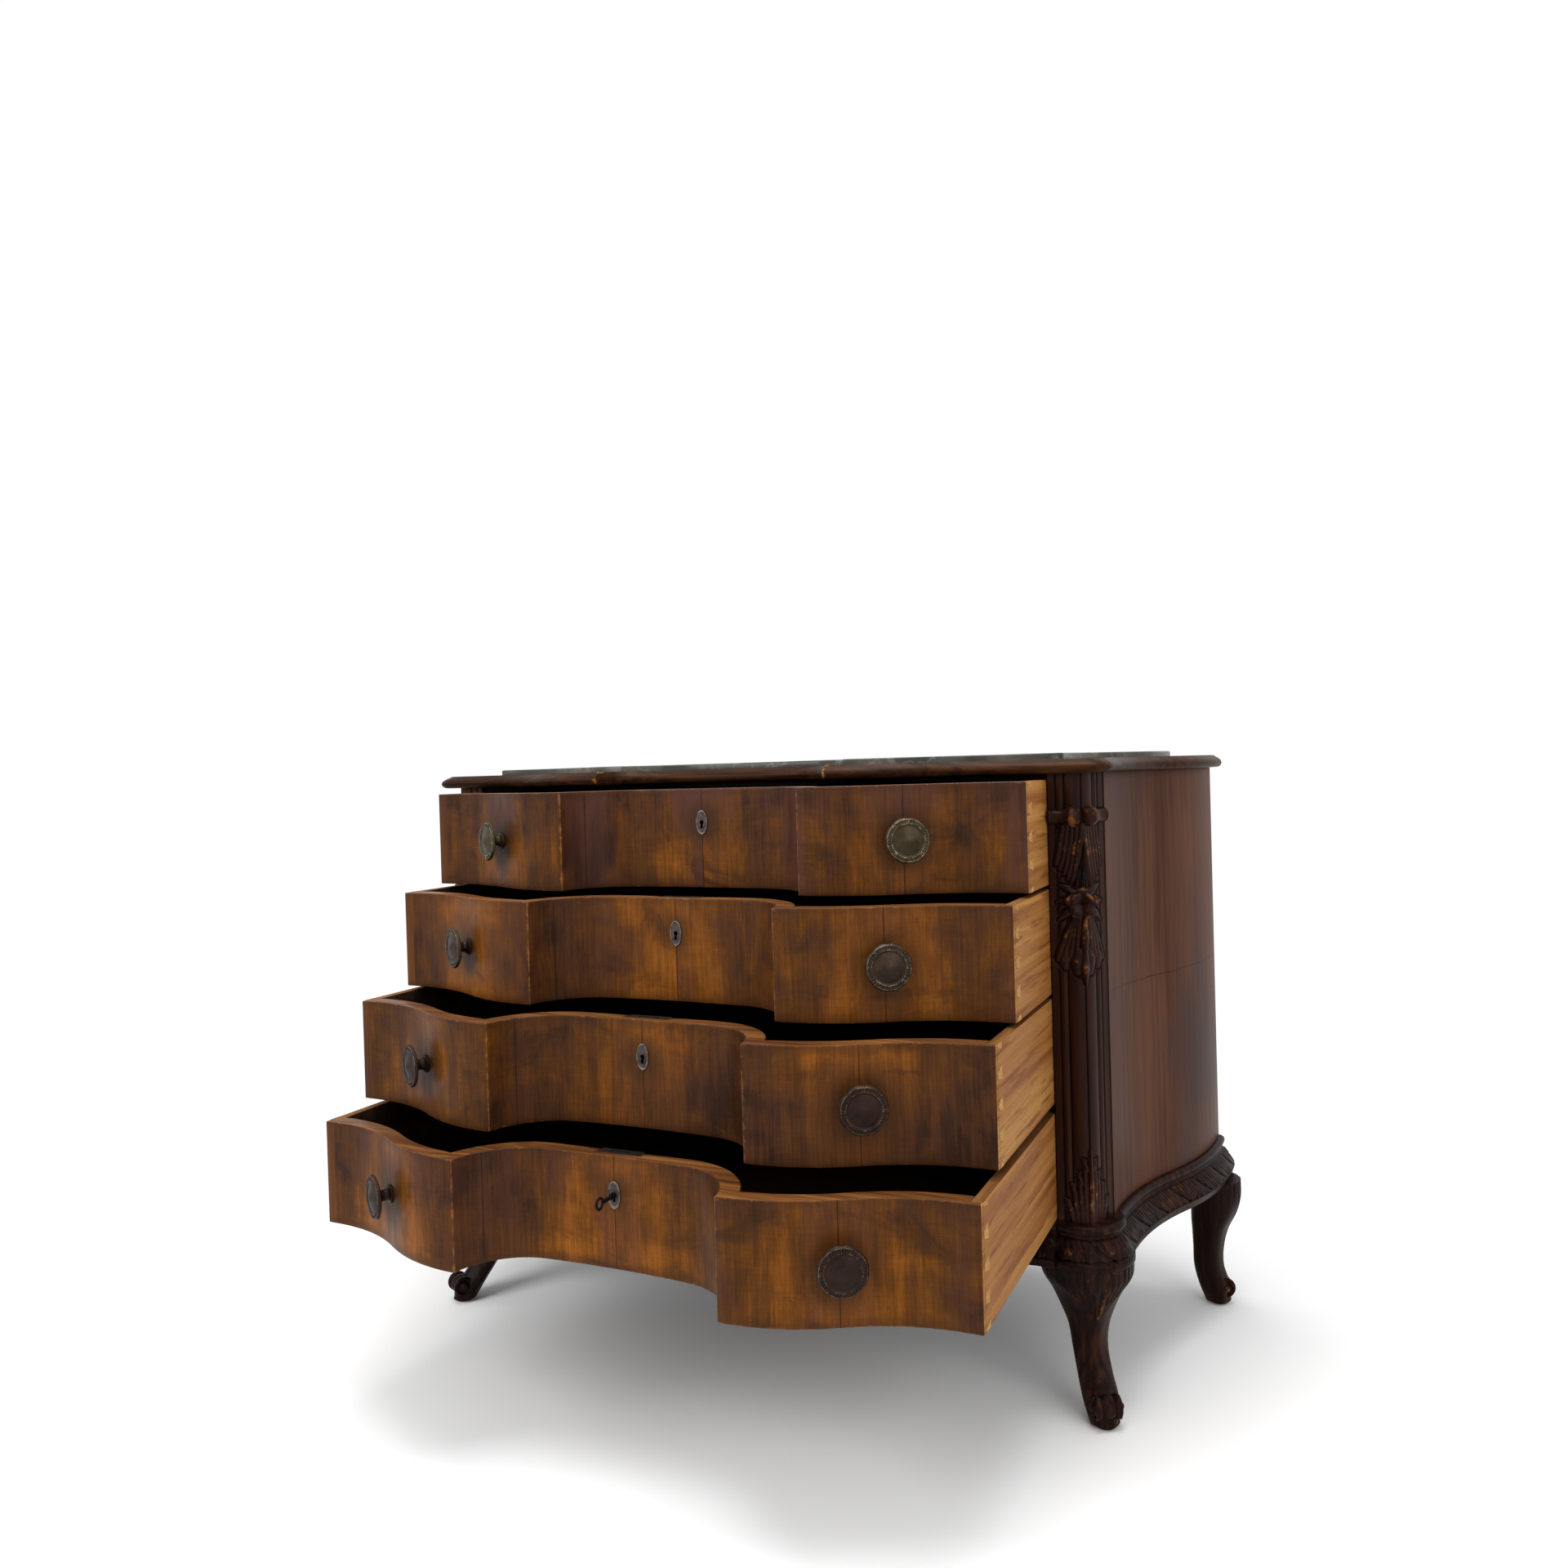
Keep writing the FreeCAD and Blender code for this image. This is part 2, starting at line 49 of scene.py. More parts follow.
# Sizes are in metres. Heights and outer places come from the frame, the curves' own sizes are given here.
post_low, post_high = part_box("post_right")
panel_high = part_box("side_panel_right")[1]
top_low, top_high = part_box("top_frame")
slab_low, slab_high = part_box("marble_slab")
side_low, side_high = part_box("drawer_1_side_right")
front_line = post_low.y
case_back = panel_high.y
opening_half = post_low.x
post_outer = post_high.x
post_depth = post_high.y - post_low.y
side_flare = panel_high.x - post_outer
base_top = post_low.z
top_under = post_high.z
case_depth = case_back - front_line
drawer_half = side_high.x
side_thickness = side_high.x - side_low.x

# Plan of the fronts, measured from the front line
centre_recess = 0.007
bay_half = 0.100
bay_edge_recess = 0.003
return_mid = (0.163, -0.030)
break_x = 0.181
crest_reach = 0.0745
wing_flat = 0.015
front_thickness = 0.025
front_lap = 0.008
wing_end = drawer_half - wing_flat
arris_round, side_round = 0.0018, 0.0005
top_overhang = front_line - crest_reach - top_low.y

# Colours as daylight shows them, counted from 0 to 255


def shade(red, green, blue):
    """A daylight colour as the shaders' linear one."""
    parts = [part / 255 for part in (red, green, blue)]
    return tuple(((p + 0.055) / 1.055) ** 2.4 if p > 0.04 else p / 12.92 for p in parts) + (1.0,)


# Plan curves


def around(angles):
    """Plan points round the unit circle."""
    return np.stack([np.cos(angles), np.sin(angles)], 1)


def circle_through(start, middle, finish):
    """Centre and radius of the circle through three plan points."""
    start, middle, finish = (np.array(point, float) for point in (start, middle, finish))
    (ax, ay), (bx, by) = middle - start, finish - start
    near, far = ax * ax + ay * ay, bx * bx + by * by
    centre = start + np.array([by * near - ay * far, ax * far - bx * near]) / (2 * (ax * by - ay * bx))
    return centre, np.linalg.norm(start - centre)


def arc(start, middle, finish, steps):
    """Plan points along the circle through three points."""
    centre, radius = circle_through(start, middle, finish)
    first, via, last = (math.atan2(*(point - centre)[::-1]) for point in (start, middle, finish))
    sweep = (last - first) % TAU
    if (via - first) % TAU > sweep:
        sweep -= TAU
    return centre + radius * around(first + np.linspace(0, sweep, steps + 1))


def chain(*runs):
    """Runs of plan points joined end to end, without the repeated joints."""
    points = [np.array(runs[0], float)]
    for run in runs[1:]:
        run = np.array(run, float)
        points.append(run[1:] if np.allclose(run[0], points[-1][-1], atol=1e-7) else run)
    return np.concatenate(points)


def ogee(start, finish, along, steps):
    """Two equal tangent arcs from start to finish, with both ends running the way along."""
    start, finish, along = (np.array(point, float) for point in (start, finish, along))
    step = finish - start
    run = step @ along
    across = step - along * run
    rise = np.linalg.norm(across)
    radius = (run ** 2 + rise ** 2) / (4 * rise)
    half_turn = math.asin(run / (2 * radius)) / 2
    bulge = along * radius * math.sin(half_turn) + across / rise * radius * (1 - math.cos(half_turn))
    middle = (start + finish) / 2
    return chain(arc(start, start + bulge, middle, steps), arc(middle, finish - bulge, finish, steps))


def mirrored(half):
    """A half plan that starts on the middle line, made whole from left to right."""
    return np.concatenate([half[:0:-1] * [-1, 1], half])


bay = (bay_half, bay_edge_recess)
crest = (break_x, -crest_reach)
return_line = arc(bay, return_mid, crest, 16)
wing_line = ogee(crest, (wing_end, 0), (1, 0), 14)


def front_half(forward=0.0):
    """The serpentine from the middle to the right wing's end, moved forward."""
    bay_arc = arc((-bay_half, bay_edge_recess), (0, centre_recess), bay, 24)[12:]
    return chain(bay_arc, return_line, wing_line) - [0, forward]


def inner_half():
    """The inner faces' serpentine from the middle to the right wing's end."""
    wing = wing_line + [0, front_thickness]
    turn_centre, turn_radius = circle_through(bay, return_mid, crest)
    turn_radius += front_thickness
    clear = np.linalg.norm(wing - turn_centre, axis=1) > turn_radius
    corner = wing[clear][0]
    last = math.atan2(*(corner - turn_centre)[::-1])
    turn = turn_centre + turn_radius * around(np.linspace(math.pi / 2, last, 17))
    return chain([(0, turn[0][1])], turn, wing[clear])


def flare_line(steps, overhang=0.0, start=post_depth):
    """A flared side from its post to the back, with an even overhang."""
    x = post_outer + overhang
    return ogee((x, start), (x + side_flare, case_depth), (0, 1), steps)


def case_half(overhang, corner_radius, back):
    """Half of the case's plan from the front's middle to the back, with an even overhang."""
    side_x = post_outer + overhang
    start = np.array([side_x - corner_radius, -overhang])
    finish = np.array([side_x, corner_radius - overhang])
    diagonal = corner_radius * math.sqrt(0.5)
    middle = start + [diagonal, corner_radius - diagonal]
    side_y = max(post_depth, finish[1])
    side = flare_line(20, overhang, side_y)
    depths = np.linspace(side_y, back, 30)[1:]
    flare = np.stack([np.interp(depths, side[:, 1], side[:, 0]), depths], 1)
    return chain(front_half(overhang), arc(start, middle, finish, 8), flare)


def case_plan(overhang, corner_radius, back_inset=0.0):
    """The case's whole plan as a closed run, in the frame's place."""
    half = case_half(overhang, corner_radius, case_depth - back_inset)
    return np.concatenate([half, half[:0:-1] * [-1, 1]]) + [0, front_line]


def lengths(plan, closed=False):
    """Distance along a plan at each of its points."""
    steps = np.linalg.norm(np.diff(plan, axis=0, append=plan[:1] if closed else plan[-1:]), axis=1)
    return np.concatenate([[0], np.cumsum(steps)[:-1]])


def plan_normals(plan, closed=True):
    """Unit normals to the left of a run of plan points, lengthened at its corners."""
    ahead = np.roll(plan, -1, 0) - plan
    behind = plan - np.roll(plan, 1, 0)
    if not closed:
        ahead[-1], behind[0] = behind[-1], ahead[0]
    sides = []
    for step in (ahead, behind):
        sides.append(np.stack([-step[:, 1], step[:, 0]], 1) / np.linalg.norm(step, axis=1)[:, None])
    middle = sides[0] + sides[1]
    middle /= np.linalg.norm(middle, axis=1)[:, None]
    return middle / np.maximum((middle * sides[0]).sum(1), 0.5)[:, None]


# Building meshes


def smooth(low, high, value):
    """A soft step from 0 at low to 1 at high."""
    share = np.clip((np.asarray(value, float) - low) / (high - low), 0, 1)
    return share * share * (3 - 2 * share)


def hump(away, half_width):
    """A half-round ridge of height 1 about a distance of 0."""
    return np.sqrt(np.clip(1 - (np.asarray(away, float) / half_width) ** 2, 0, 1))


def grid_faces(rows, columns, close_rows=False, close_columns=False):
    """Quads over points that are counted row by row."""
    faces = []
    for row in range(rows if close_rows else rows - 1):
        above = (row + 1) % rows
        for column in range(columns if close_columns else columns - 1):
            beside = (column + 1) % columns
            faces.append((row * columns + column, row * columns + beside,
                          above * columns + beside, above * columns + column))
    return faces


def at_height(plan, height):
    """Plan points raised to a height."""
    return np.column_stack([plan, np.full(len(plan), height)])


def tube_faces(rows, count):
    """Quads round a tube of points, with a face over each end."""
    ends = [tuple(range(count))[::-1], tuple(range((rows - 1) * count, rows * count))]
    return grid_faces(rows, count, close_columns=True) + ends


box_faces = [(0, 1, 3, 2), (4, 6, 7, 5), (0, 4, 5, 1), (2, 3, 7, 6), (0, 2, 6, 4), (1, 5, 7, 3)]


class Stock:
    """Points and faces that pile up into one piece, with each point's place and relief."""

    def __init__(self):
        self.points, self.faces, self.finishes = [], [], []
        self.places, self.reliefs = [], []

    def add(self, points, faces, finish=0, places=None, relief=None):
        first, points = len(self.points), np.asarray(points, float).reshape(-1, 3)
        self.points.extend(map(tuple, points))
        self.faces.extend(tuple(first + corner for corner in face) for face in faces)
        self.finishes.extend([finish] * len(faces) if isinstance(finish, int) else finish)
        self.places.extend([(0.0, 0.0)] * len(points) if places is None else map(tuple, places))
        self.reliefs.extend([0.5] * len(points) if relief is None else np.ravel(relief))
        return self

    def flipped(self):
        """The same stock for the chest's other side."""
        other = Stock()
        other.points = [(-x, y, z) for x, y, z in self.points]
        other.faces = [face[::-1] for face in self.faces]
        other.finishes, other.places, other.reliefs = self.finishes, self.places, self.reliefs
        return other

    def piece(self, name, materials, sharp=40):
        made = bpy.data.meshes.new(name)
        made.from_pydata(self.points, [], self.faces)
        for material in materials:
            made.materials.append(material)
        made.polygons.foreach_set("material_index", np.array(self.finishes, np.int32))
        corners = np.zeros(len(made.loops), np.int32)
        made.loops.foreach_get("vertex_index", corners)
        layer = made.uv_layers.new(name="place")
        layer.data.foreach_set("uv", np.array(self.places, np.float32)[corners].ravel())
        set_relief(made, self.reliefs)
        return linked(name, tidy_mesh(made, sharp))


def set_relief(mesh, values):
    """Gives each point of a mesh how high it stands, for the wear."""
    layer = mesh.attributes.new("relief", "FLOAT", "POINT")
    layer.data.foreach_set("value", np.array(values, np.float32))


weld = 1e-6


def tidy_mesh(mesh, sharp):
    """Closes seams, turns faces outwards, splits many-sided faces and shades all but sharp edges smooth."""
    work = bmesh.new()
    work.from_mesh(mesh)
    bmesh.ops.remove_doubles(work, verts=work.verts, dist=weld)
    bmesh.ops.triangulate(work, faces=[face for face in work.faces if len(face.verts) > 4])
    bmesh.ops.recalc_face_normals(work, faces=work.faces)
    work.to_mesh(mesh)
    work.free()
    mesh.polygons.foreach_set("use_smooth", np.ones(len(mesh.polygons), bool))
    mesh.set_sharp_from_angle(angle=math.radians(sharp))
    return mesh


def linked(name, data):
    """A new object in the scene with a mesh, a lamp or a camera as its data."""
    thing = bpy.data.objects.new(name, data)
    bpy.context.scene.collection.objects.link(thing)
    return thing


def fitted(piece, body, slot, *nodes):
    """Sets a finished piece on its body, in the place of its frame nodes, which it hides. The slot is not
    used.
    """
    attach(piece, body)
    if nodes:
        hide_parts(*nodes)
    return piece


def fitted_pair(stock, name, materials, sharp, slot, node):
    """A piece of the case's right side and its twin on the left."""
    for side, made in (("right", stock), ("left", stock.flipped())):
        fitted(made.piece(f"{name}_{side}", materials, sharp), "case", slot, f"{node}_{side}")


def evaluated_mesh(thing):
    """A plain mesh of what an object's modifiers make of it."""
    view = bpy.context.evaluated_depsgraph_get()
    return bpy.data.meshes.new_from_object(thing.evaluated_get(view), depsgraph=view)


def softened_plan(plan, radius, turn=25):
    """A closed plan with each sharp corner cut to a small round. Each point keeps its run's label."""
    points, marks = plan
    made, kept = [], []
    for index, here in enumerate(points):
        back, on = points[index - 1] - here, points[(index + 1) % len(points)] - here
        near, far = np.linalg.norm(back), np.linalg.norm(on)
        bend = math.degrees(math.acos(np.clip(-(back / near) @ (on / far), -1, 1)))
        if bend < turn:
            made.append(here)
            kept.append(marks[index])
            continue
        cut = min(radius, 0.4 * near, 0.4 * far)
        for share_back, share_on in ((1, 0), (0.3, 0.3), (0, 1)):
            made.append(here + back / near * cut * share_back + on / far * cut * share_on)
        kept.extend([marks[index - 1], marks[index], marks[index]])
    return np.array(made), kept


def rounded_prism(stock, plan, marks, low, high, radius, cap, places=None, rows=(), steps=3):
    """A prism over a closed plan with rounded rims. Walls take the finish in marks, caps that in cap."""
    count = len(plan)
    inward = plan_normals(plan)
    radius = np.broadcast_to(np.asarray(radius, float), count)
    levels = []
    for turn in np.linspace(0, math.pi / 2, steps + 1):
        levels.append((radius * (1 - math.sin(turn)), low + radius * (1 - math.cos(turn)), 0.82))
    for row in rows:
        levels.append((np.zeros(count), np.full(count, low + row), 0.5))
    for inset, height, relief in levels[steps::-1]:
        levels.append((inset, low + high - height, relief))
    rings = [np.column_stack([plan + inward * inset[:, None], height]) for inset, height, _ in levels]
    points = np.concatenate(rings)
    relief = np.concatenate([np.full(count, relief) for _, _, relief in levels])
    along = lengths(plan, True) if places is None else places
    spread = np.column_stack([np.tile(along, len(levels)), points[:, 2] - low])
    finishes = [marks[column] for _ in range(len(levels) - 1) for column in range(count)]
    stock.add(points, tube_faces(len(levels), count), finishes + [cap, cap], spread, relief)
    return stock


def turned(profile, count):
    """Points and faces of a shape turned about Z from a profile of (radius, height)."""
    angles = np.arange(count) * TAU / count
    points = [(radius * math.cos(angle), radius * math.sin(angle), height)
              for radius, height in profile for angle in angles]
    return np.array(points), grid_faces(len(profile), count, close_columns=True)


def placed(points, origin, across, upward, outward):
    """Points set into the frame: x along across, y along upward and z along outward."""
    axes = np.array([across, upward, outward], float)
    return np.asarray(points, float) @ axes + np.array(origin, float)


# Shader fields


def join(tree, socket, value):
    """Fills an input with a field, another node's output or a value."""
    value = value.socket if isinstance(value, Field) else value
    if isinstance(value, bpy.types.NodeSocket):
        tree.links.new(value, socket)
    else:
        socket.default_value = value


def wire(tree, kind, inputs=None, **settings):
    """Adds a node with its settings, and fills its inputs."""
    made = tree.nodes.new(kind)
    for name, value in settings.items():
        setattr(made, name, value)
    for key, value in (inputs or {}).items():
        join(tree, made.inputs[key], value)
    return made


class Field:
    """A value, place or colour over a surface. Sums and products with it add nodes to its tree."""

    def __init__(self, tree, socket):
        self.tree, self.socket = tree, socket

    def through(self, kind, inputs, output=0, **settings):
        """What another node in the same tree makes of it."""
        return Field(self.tree, wire(self.tree, kind, inputs, **settings).outputs[output])

    def maths(self, operation, other=0.5):
        return self.through("ShaderNodeMath", {0: self, 1: other}, operation=operation)

    def __add__(self, other):
        return self.maths("ADD", other)

    def __sub__(self, other):
        return self.maths("SUBTRACT", other)

    def __rsub__(self, other):
        return self.through("ShaderNodeMath", {0: other, 1: self}, operation="SUBTRACT")

    def __mul__(self, other):
        return self.maths("MULTIPLY", other)

    def __truediv__(self, other):
        return self.maths("DIVIDE", other)

    def __abs__(self):
        return self.maths("ABSOLUTE")

    def swing(self, weight):
        """A field of 0 to 1 as a shift to either side of nothing."""
        return (self - 0.5) * weight

    def span(self, from_low, from_high, to_low=0.0, to_high=1.0):
        """Carried from one range to another and kept within it."""
        labels = ("Value", "From Min", "From Max", "To Min", "To Max")
        inputs = dict(zip(labels, (self, from_low, from_high, to_low, to_high)))
        return self.through("ShaderNodeMapRange", inputs, "Result", interpolation_type="SMOOTHSTEP")

    def clouds(self, scale, detail=3.0, roughness=0.5, distortion=0.0):
        """Noise over a place that is stretched by a scale for each axis."""
        stretched = self.through("ShaderNodeVectorMath", {0: self, 1: scale}, operation="MULTIPLY")
        inputs = {"Vector": stretched, "Scale": 1.0, "Detail": detail, "Roughness": roughness,
                  "Distortion": distortion}
        return self.through("ShaderNodeTexNoise", inputs, "Fac")

    def ramp(self, *stops):
        """A run of colours along a field of 0 to 1."""
        node = wire(self.tree, "ShaderNodeValToRGB", {"Fac": self})
        marks = node.color_ramp.elements
        while len(marks) < len(stops):
            marks.new(0.5)
        for mark, (place, colour) in zip(marks, stops):
            mark.position, mark.color = place, shade(*colour)
        return Field(self.tree, node.outputs["Color"])

    def blended(self, colour, share, way="MIX"):
        """The colour with another one over it where a share is high."""
        node = wire(self.tree, "ShaderNodeMix", data_type="RGBA", blend_type=way)
        other = shade(*colour) if isinstance(colour, tuple) and len(colour) == 3 else colour
        for index, value in ((0, share), (6, self), (7, other)):
            join(self.tree, node.inputs[index], value)
        return Field(self.tree, node.outputs[2])

    def grouped(self, group, **inputs):
        """A node group's outputs for this place."""
        node = wire(self.tree, "ShaderNodeGroup", node_tree=group)
        for name, value in {"Place": self, **inputs}.items():
            join(self.tree, node.inputs[name], value)
        return {socket.name: Field(self.tree, socket) for socket in node.outputs}

    def worn(self, rubbed, patches):
        """The wear at this place, by the relief that the piece's points carry."""
        relief = wire(self.tree, "ShaderNodeAttribute", attribute_name="relief").outputs["Fac"]
        return self.grouped(wear_tree, Relief=relief, Rubbed=rubbed, Patches=patches)


def vector(x, y, z):
    return x.through("ShaderNodeCombineXYZ", {0: x, 1: y, 2: z})


def distance(first, second):
    """How far a place lies from a point, by its distances along two axes."""
    return (first * first + second * second).maths("SQRT")


# Shader node groups


FLOAT, VECTOR = "NodeSocketFloat", "NodeSocketVector"


def shader_group(name, values, outputs):
    """A new shader node group for a place and some values, with its input fields and output sockets."""
    tree = bpy.data.node_groups.new(name, "ShaderNodeTree")
    tree.interface.new_socket("Place", in_out="INPUT", socket_type=VECTOR)
    for label, value in values.items():
        tree.interface.new_socket(label, in_out="INPUT", socket_type=FLOAT).default_value = value
    for label in outputs:
        tree.interface.new_socket(label, in_out="OUTPUT", socket_type=FLOAT)
    given = tree.nodes.new("NodeGroupInput").outputs
    fields = {label: Field(tree, given[label]) for label in ("Place", *values)}
    return tree, fields, tree.nodes.new("NodeGroupOutput").inputs


def grain_group():
    """Streaks and pores of wood whose fibres run along Z of the given place."""
    values = {"Streaks": 130.0, "Draw": 0.035, "Wave": 0.3}
    tree, given, result = shader_group("wood_grain", values, ["Streak", "Pore"])
    scale = vector(given["Streaks"], given["Streaks"], given["Streaks"] * given["Draw"])
    swayed = given["Place"].clouds((9.0, 9.0, 5.0), 2.0).swing(given["Wave"] * 0.03)
    inputs = {0: given["Place"], 1: vector(swayed, swayed, 0.0)}
    place = swayed.through("ShaderNodeVectorMath", inputs, operation="ADD")
    join(tree, result["Streak"], place.clouds(scale, 5.0, 0.62).span(0.28, 0.72))
    join(tree, result["Pore"], place.clouds((900.0, 900.0, 45.0), 2.0).span(0.56, 0.70))
    return tree


def wear_group():
    """Where rubbing has bared high places, and where dirt has gathered in the low ones."""
    values = {"Relief": 0.5, "Rubbed": 0.5, "Patches": 60.0}
    tree, given, result = shader_group("edge_wear", values, ["Bare", "Dirt"])
    patch = given["Place"].clouds(vector(*[given["Patches"]] * 3), 4.0, 0.65)
    high = given["Relief"] + patch.swing(0.9)
    edge = 1.2 - given["Rubbed"] * 0.5
    join(tree, result["Bare"], (high - edge).span(-0.12, 0.12))
    low = given["Relief"] + patch.swing(0.35)
    join(tree, result["Dirt"], low.span(0.42, 0.08))
    return tree


grain_tree, wear_tree = grain_group(), wear_group()


def new_material(name, **constants):
    """A material with its shader, and the values that are the same all over it."""
    material = bpy.data.materials.new(name)
    material.use_nodes = True
    shader = material.node_tree.nodes["Principled BSDF"]
    for socket, value in constants.items():
        shader.inputs[socket.replace("_", " ")].default_value = value
    return material, material.node_tree, shader


def object_place(tree, turn=(0.0, 0.0, 0.0)):
    """Object coordinates, turned so that the wood's fibres run along Z."""
    source = wire(tree, "ShaderNodeTexCoord").outputs["Object"]
    return Field(tree, source).through("ShaderNodeMapping", {"Vector": source, "Rotation": turn})


def surface_place(tree):
    """The distance along a surface and the height on it, from the piece's own map."""
    spread = wire(tree, "ShaderNodeUVMap", uv_map="place").outputs[0]
    spot = wire(tree, "ShaderNodeSeparateXYZ", {0: spread}).outputs
    return Field(tree, spot[0]), Field(tree, spot[1])


def finish_surface(tree, shader, colour, roughness, height, strength, depth):
    bump = wire(tree, "ShaderNodeBump", {"Height": height, "Strength": strength, "Distance": depth})
    join(tree, shader.inputs["Base Color"], colour)
    join(tree, shader.inputs["Roughness"], roughness)
    join(tree, shader.inputs["Normal"], bump.outputs["Normal"])


# Materials

leaf_width = 0.1795
knob_along = 2 * leaf_width
drawer_height, keyhole_drop = 0.1385, 0.04725


def veneer(name, seed, tone, mottle, gloom, sheen_tint):
    """Matched leaves of figured walnut, laid upright and mirrored at each joint, under a worn polish, with
    patches of painted sheen and painted shade about the knobs.
    """
    material, tree, shader = new_material(name, Specular_IOR_Level=0.08, IOR=1.5)
    along, height = surface_place(tree)
    across = abs(along).maths("PINGPONG", leaf_width)
    side = along.maths("GREATER_THAN", 0.0) * 0.35
    place = vector(across, side + seed, height)
    whole = vector(along, seed + 3.0, height)
    grain = place.grouped(grain_tree, Streaks=330.0, Draw=0.04, Wave=1.0)
    broad = place.clouds((8.0, 1.0, 4.5), 2.0, 0.5, 0.7)
    cloud = place.clouds((22.0, 1.0, 9.0), 4.0, 0.55, 1.2)
    loose = whole.clouds((10.0, 1.0, 13.0), 4.0, 0.58, 1.4)
    # Figure that darkens across each leaf, with a ragged seam and clouds of several sizes
    figure = across / leaf_width * 0.45
    figure = figure + (across + broad.swing(0.05)).span(0.062, 0.072, 0.0, 0.26)
    for field, weight in ((broad, 1.4), (cloud, mottle), (loose, 0.9), (grain["Streak"], 0.2)):
        figure = figure + field.swing(weight)
    colour = (figure + tone).ramp((0.0, (127, 74, 20)), (0.22, (113, 64, 14)), (0.42, (93, 53, 13)),
                                  (0.62, (78, 45, 16)), (0.82, (66, 38, 20)), (1.0, (48, 28, 17)))
    # Fine fibres and pores
    fine = whole.clouds((280.0, 1.0, 9.0), 3.0, 0.55)
    woven = whole.clouds((40.0, 1.0, 620.0), 3.0, 0.6)
    streaked = fine.span(0.3, 0.7, -0.17, 0.17) + woven.span(0.3, 0.7, 0.93, 1.07)
    grey = streaked.through("ShaderNodeCombineColor", {0: streaked, 1: streaked, 2: streaked})
    colour = colour.blended(grey, 1.0, "MULTIPLY").blended((42, 23, 11), grain["Pore"] * 0.34)
    # Dark clouds under the polish
    murk = whole.clouds((8.0, 1.0, 16.0), 4.0, 0.6, 1.2)
    colour = colour.blended((40, 25, 13), murk.span(0.52, 0.74, 0.0, gloom))
    # Purple-grey patches painted in as the polish's sheen
    painted_sheen = place.clouds((13.0, 1.0, 3.5), 3.0, 0.55, 0.6)
    colour = colour.blended((76, 46, 38), painted_sheen.span(0.44, 0.62, 0.0, sheen_tint))
    # Joints between leaves
    joint = across.maths("MINIMUM", leaf_width - across)
    wander = place.clouds((3.0, 1.0, 40.0), 2.0) * 0.0013
    crack = (joint - wander).span(0.0005, -0.0002)
    colour = colour.blended((34, 18, 10), crack * 0.7)
    # Darkening about the knobs, partly handling grime and partly painted shade of the knobs; handling marks
    # about the keyhole and the rims
    knob_away = distance(abs(along) - knob_along, height - drawer_height / 2)
    ragged = knob_away + loose.swing(0.07)
    colour = colour.blended((42, 26, 14), ragged.span(0.062, 0.020, 0.0, 0.5))
    keyhole_away = distance(along, height - (drawer_height - keyhole_drop))
    colour = colour.blended((44, 27, 14), keyhole_away.span(0.040, 0.012, 0.0, 0.5))
    soiled = height.maths("MINIMUM", drawer_height - height) + cloud.swing(0.03)
    colour = colour.blended((54, 32, 17), soiled.span(0.014, 0.0, 0.0, 0.5))
    colour = colour.blended((150, 98, 50), place.worn(0.5, 90.0)["Bare"] * 0.55)
    gloss = (cloud + woven * 0.4).span(0.4, 1.0, 0.26, 0.42)
    finish_surface(tree, shader, colour, gloss, fine + cloud * 2.0 - crack, 0.14, 0.0007)
    return material


def timber(name, dark, middle, light, turn, rough=0.5, streaks=90.0, draw=0.04, contrast=1.0, rubbed=0.35,
           bare=None, shine=0.2, wave=1.0, flecks=0.0):
    """Plain wood on Object coordinates, turned so that its fibres run along Z of the pattern."""
    material, tree, shader = new_material(name, Specular_IOR_Level=shine, IOR=1.5)
    place = object_place(tree, turn)
    grain = place.grouped(grain_tree, Streaks=streaks, Draw=draw, Wave=wave)
    cloud = place.clouds((11.0, 11.0, 1.6), 3.0, 0.55, 0.4)
    share = grain["Streak"] * (0.6 * contrast) + cloud * 0.8 - 0.2 * contrast
    colour = share.ramp((0.15, dark), (0.5, middle), (0.85, light))
    colour = colour.blended(dark, grain["Pore"] * 0.3)
    fleck = place.clouds((85.0, 85.0, 7.0), 3.0, 0.6)
    colour = colour.blended(dark, fleck.span(0.53, 0.66, 0.0, flecks))
    wear = place.worn(rubbed, 70.0)
    if bare:
        colour = colour.blended(bare, wear["Bare"] * 0.7)
    soiled = tuple(0.2 * wood + 0.8 * dirt for wood, dirt in zip(shade(*dark), shade(8, 5, 4)))
    colour = colour.blended(soiled, wear["Dirt"] * 0.85)
    gloss = (cloud + grain["Pore"] * 0.3).span(0.2, 1.0, rough - 0.08, rough + 0.12)
    finish_surface(tree, shader, colour, gloss, grain["Streak"], 0.15, 0.0005)
    return material


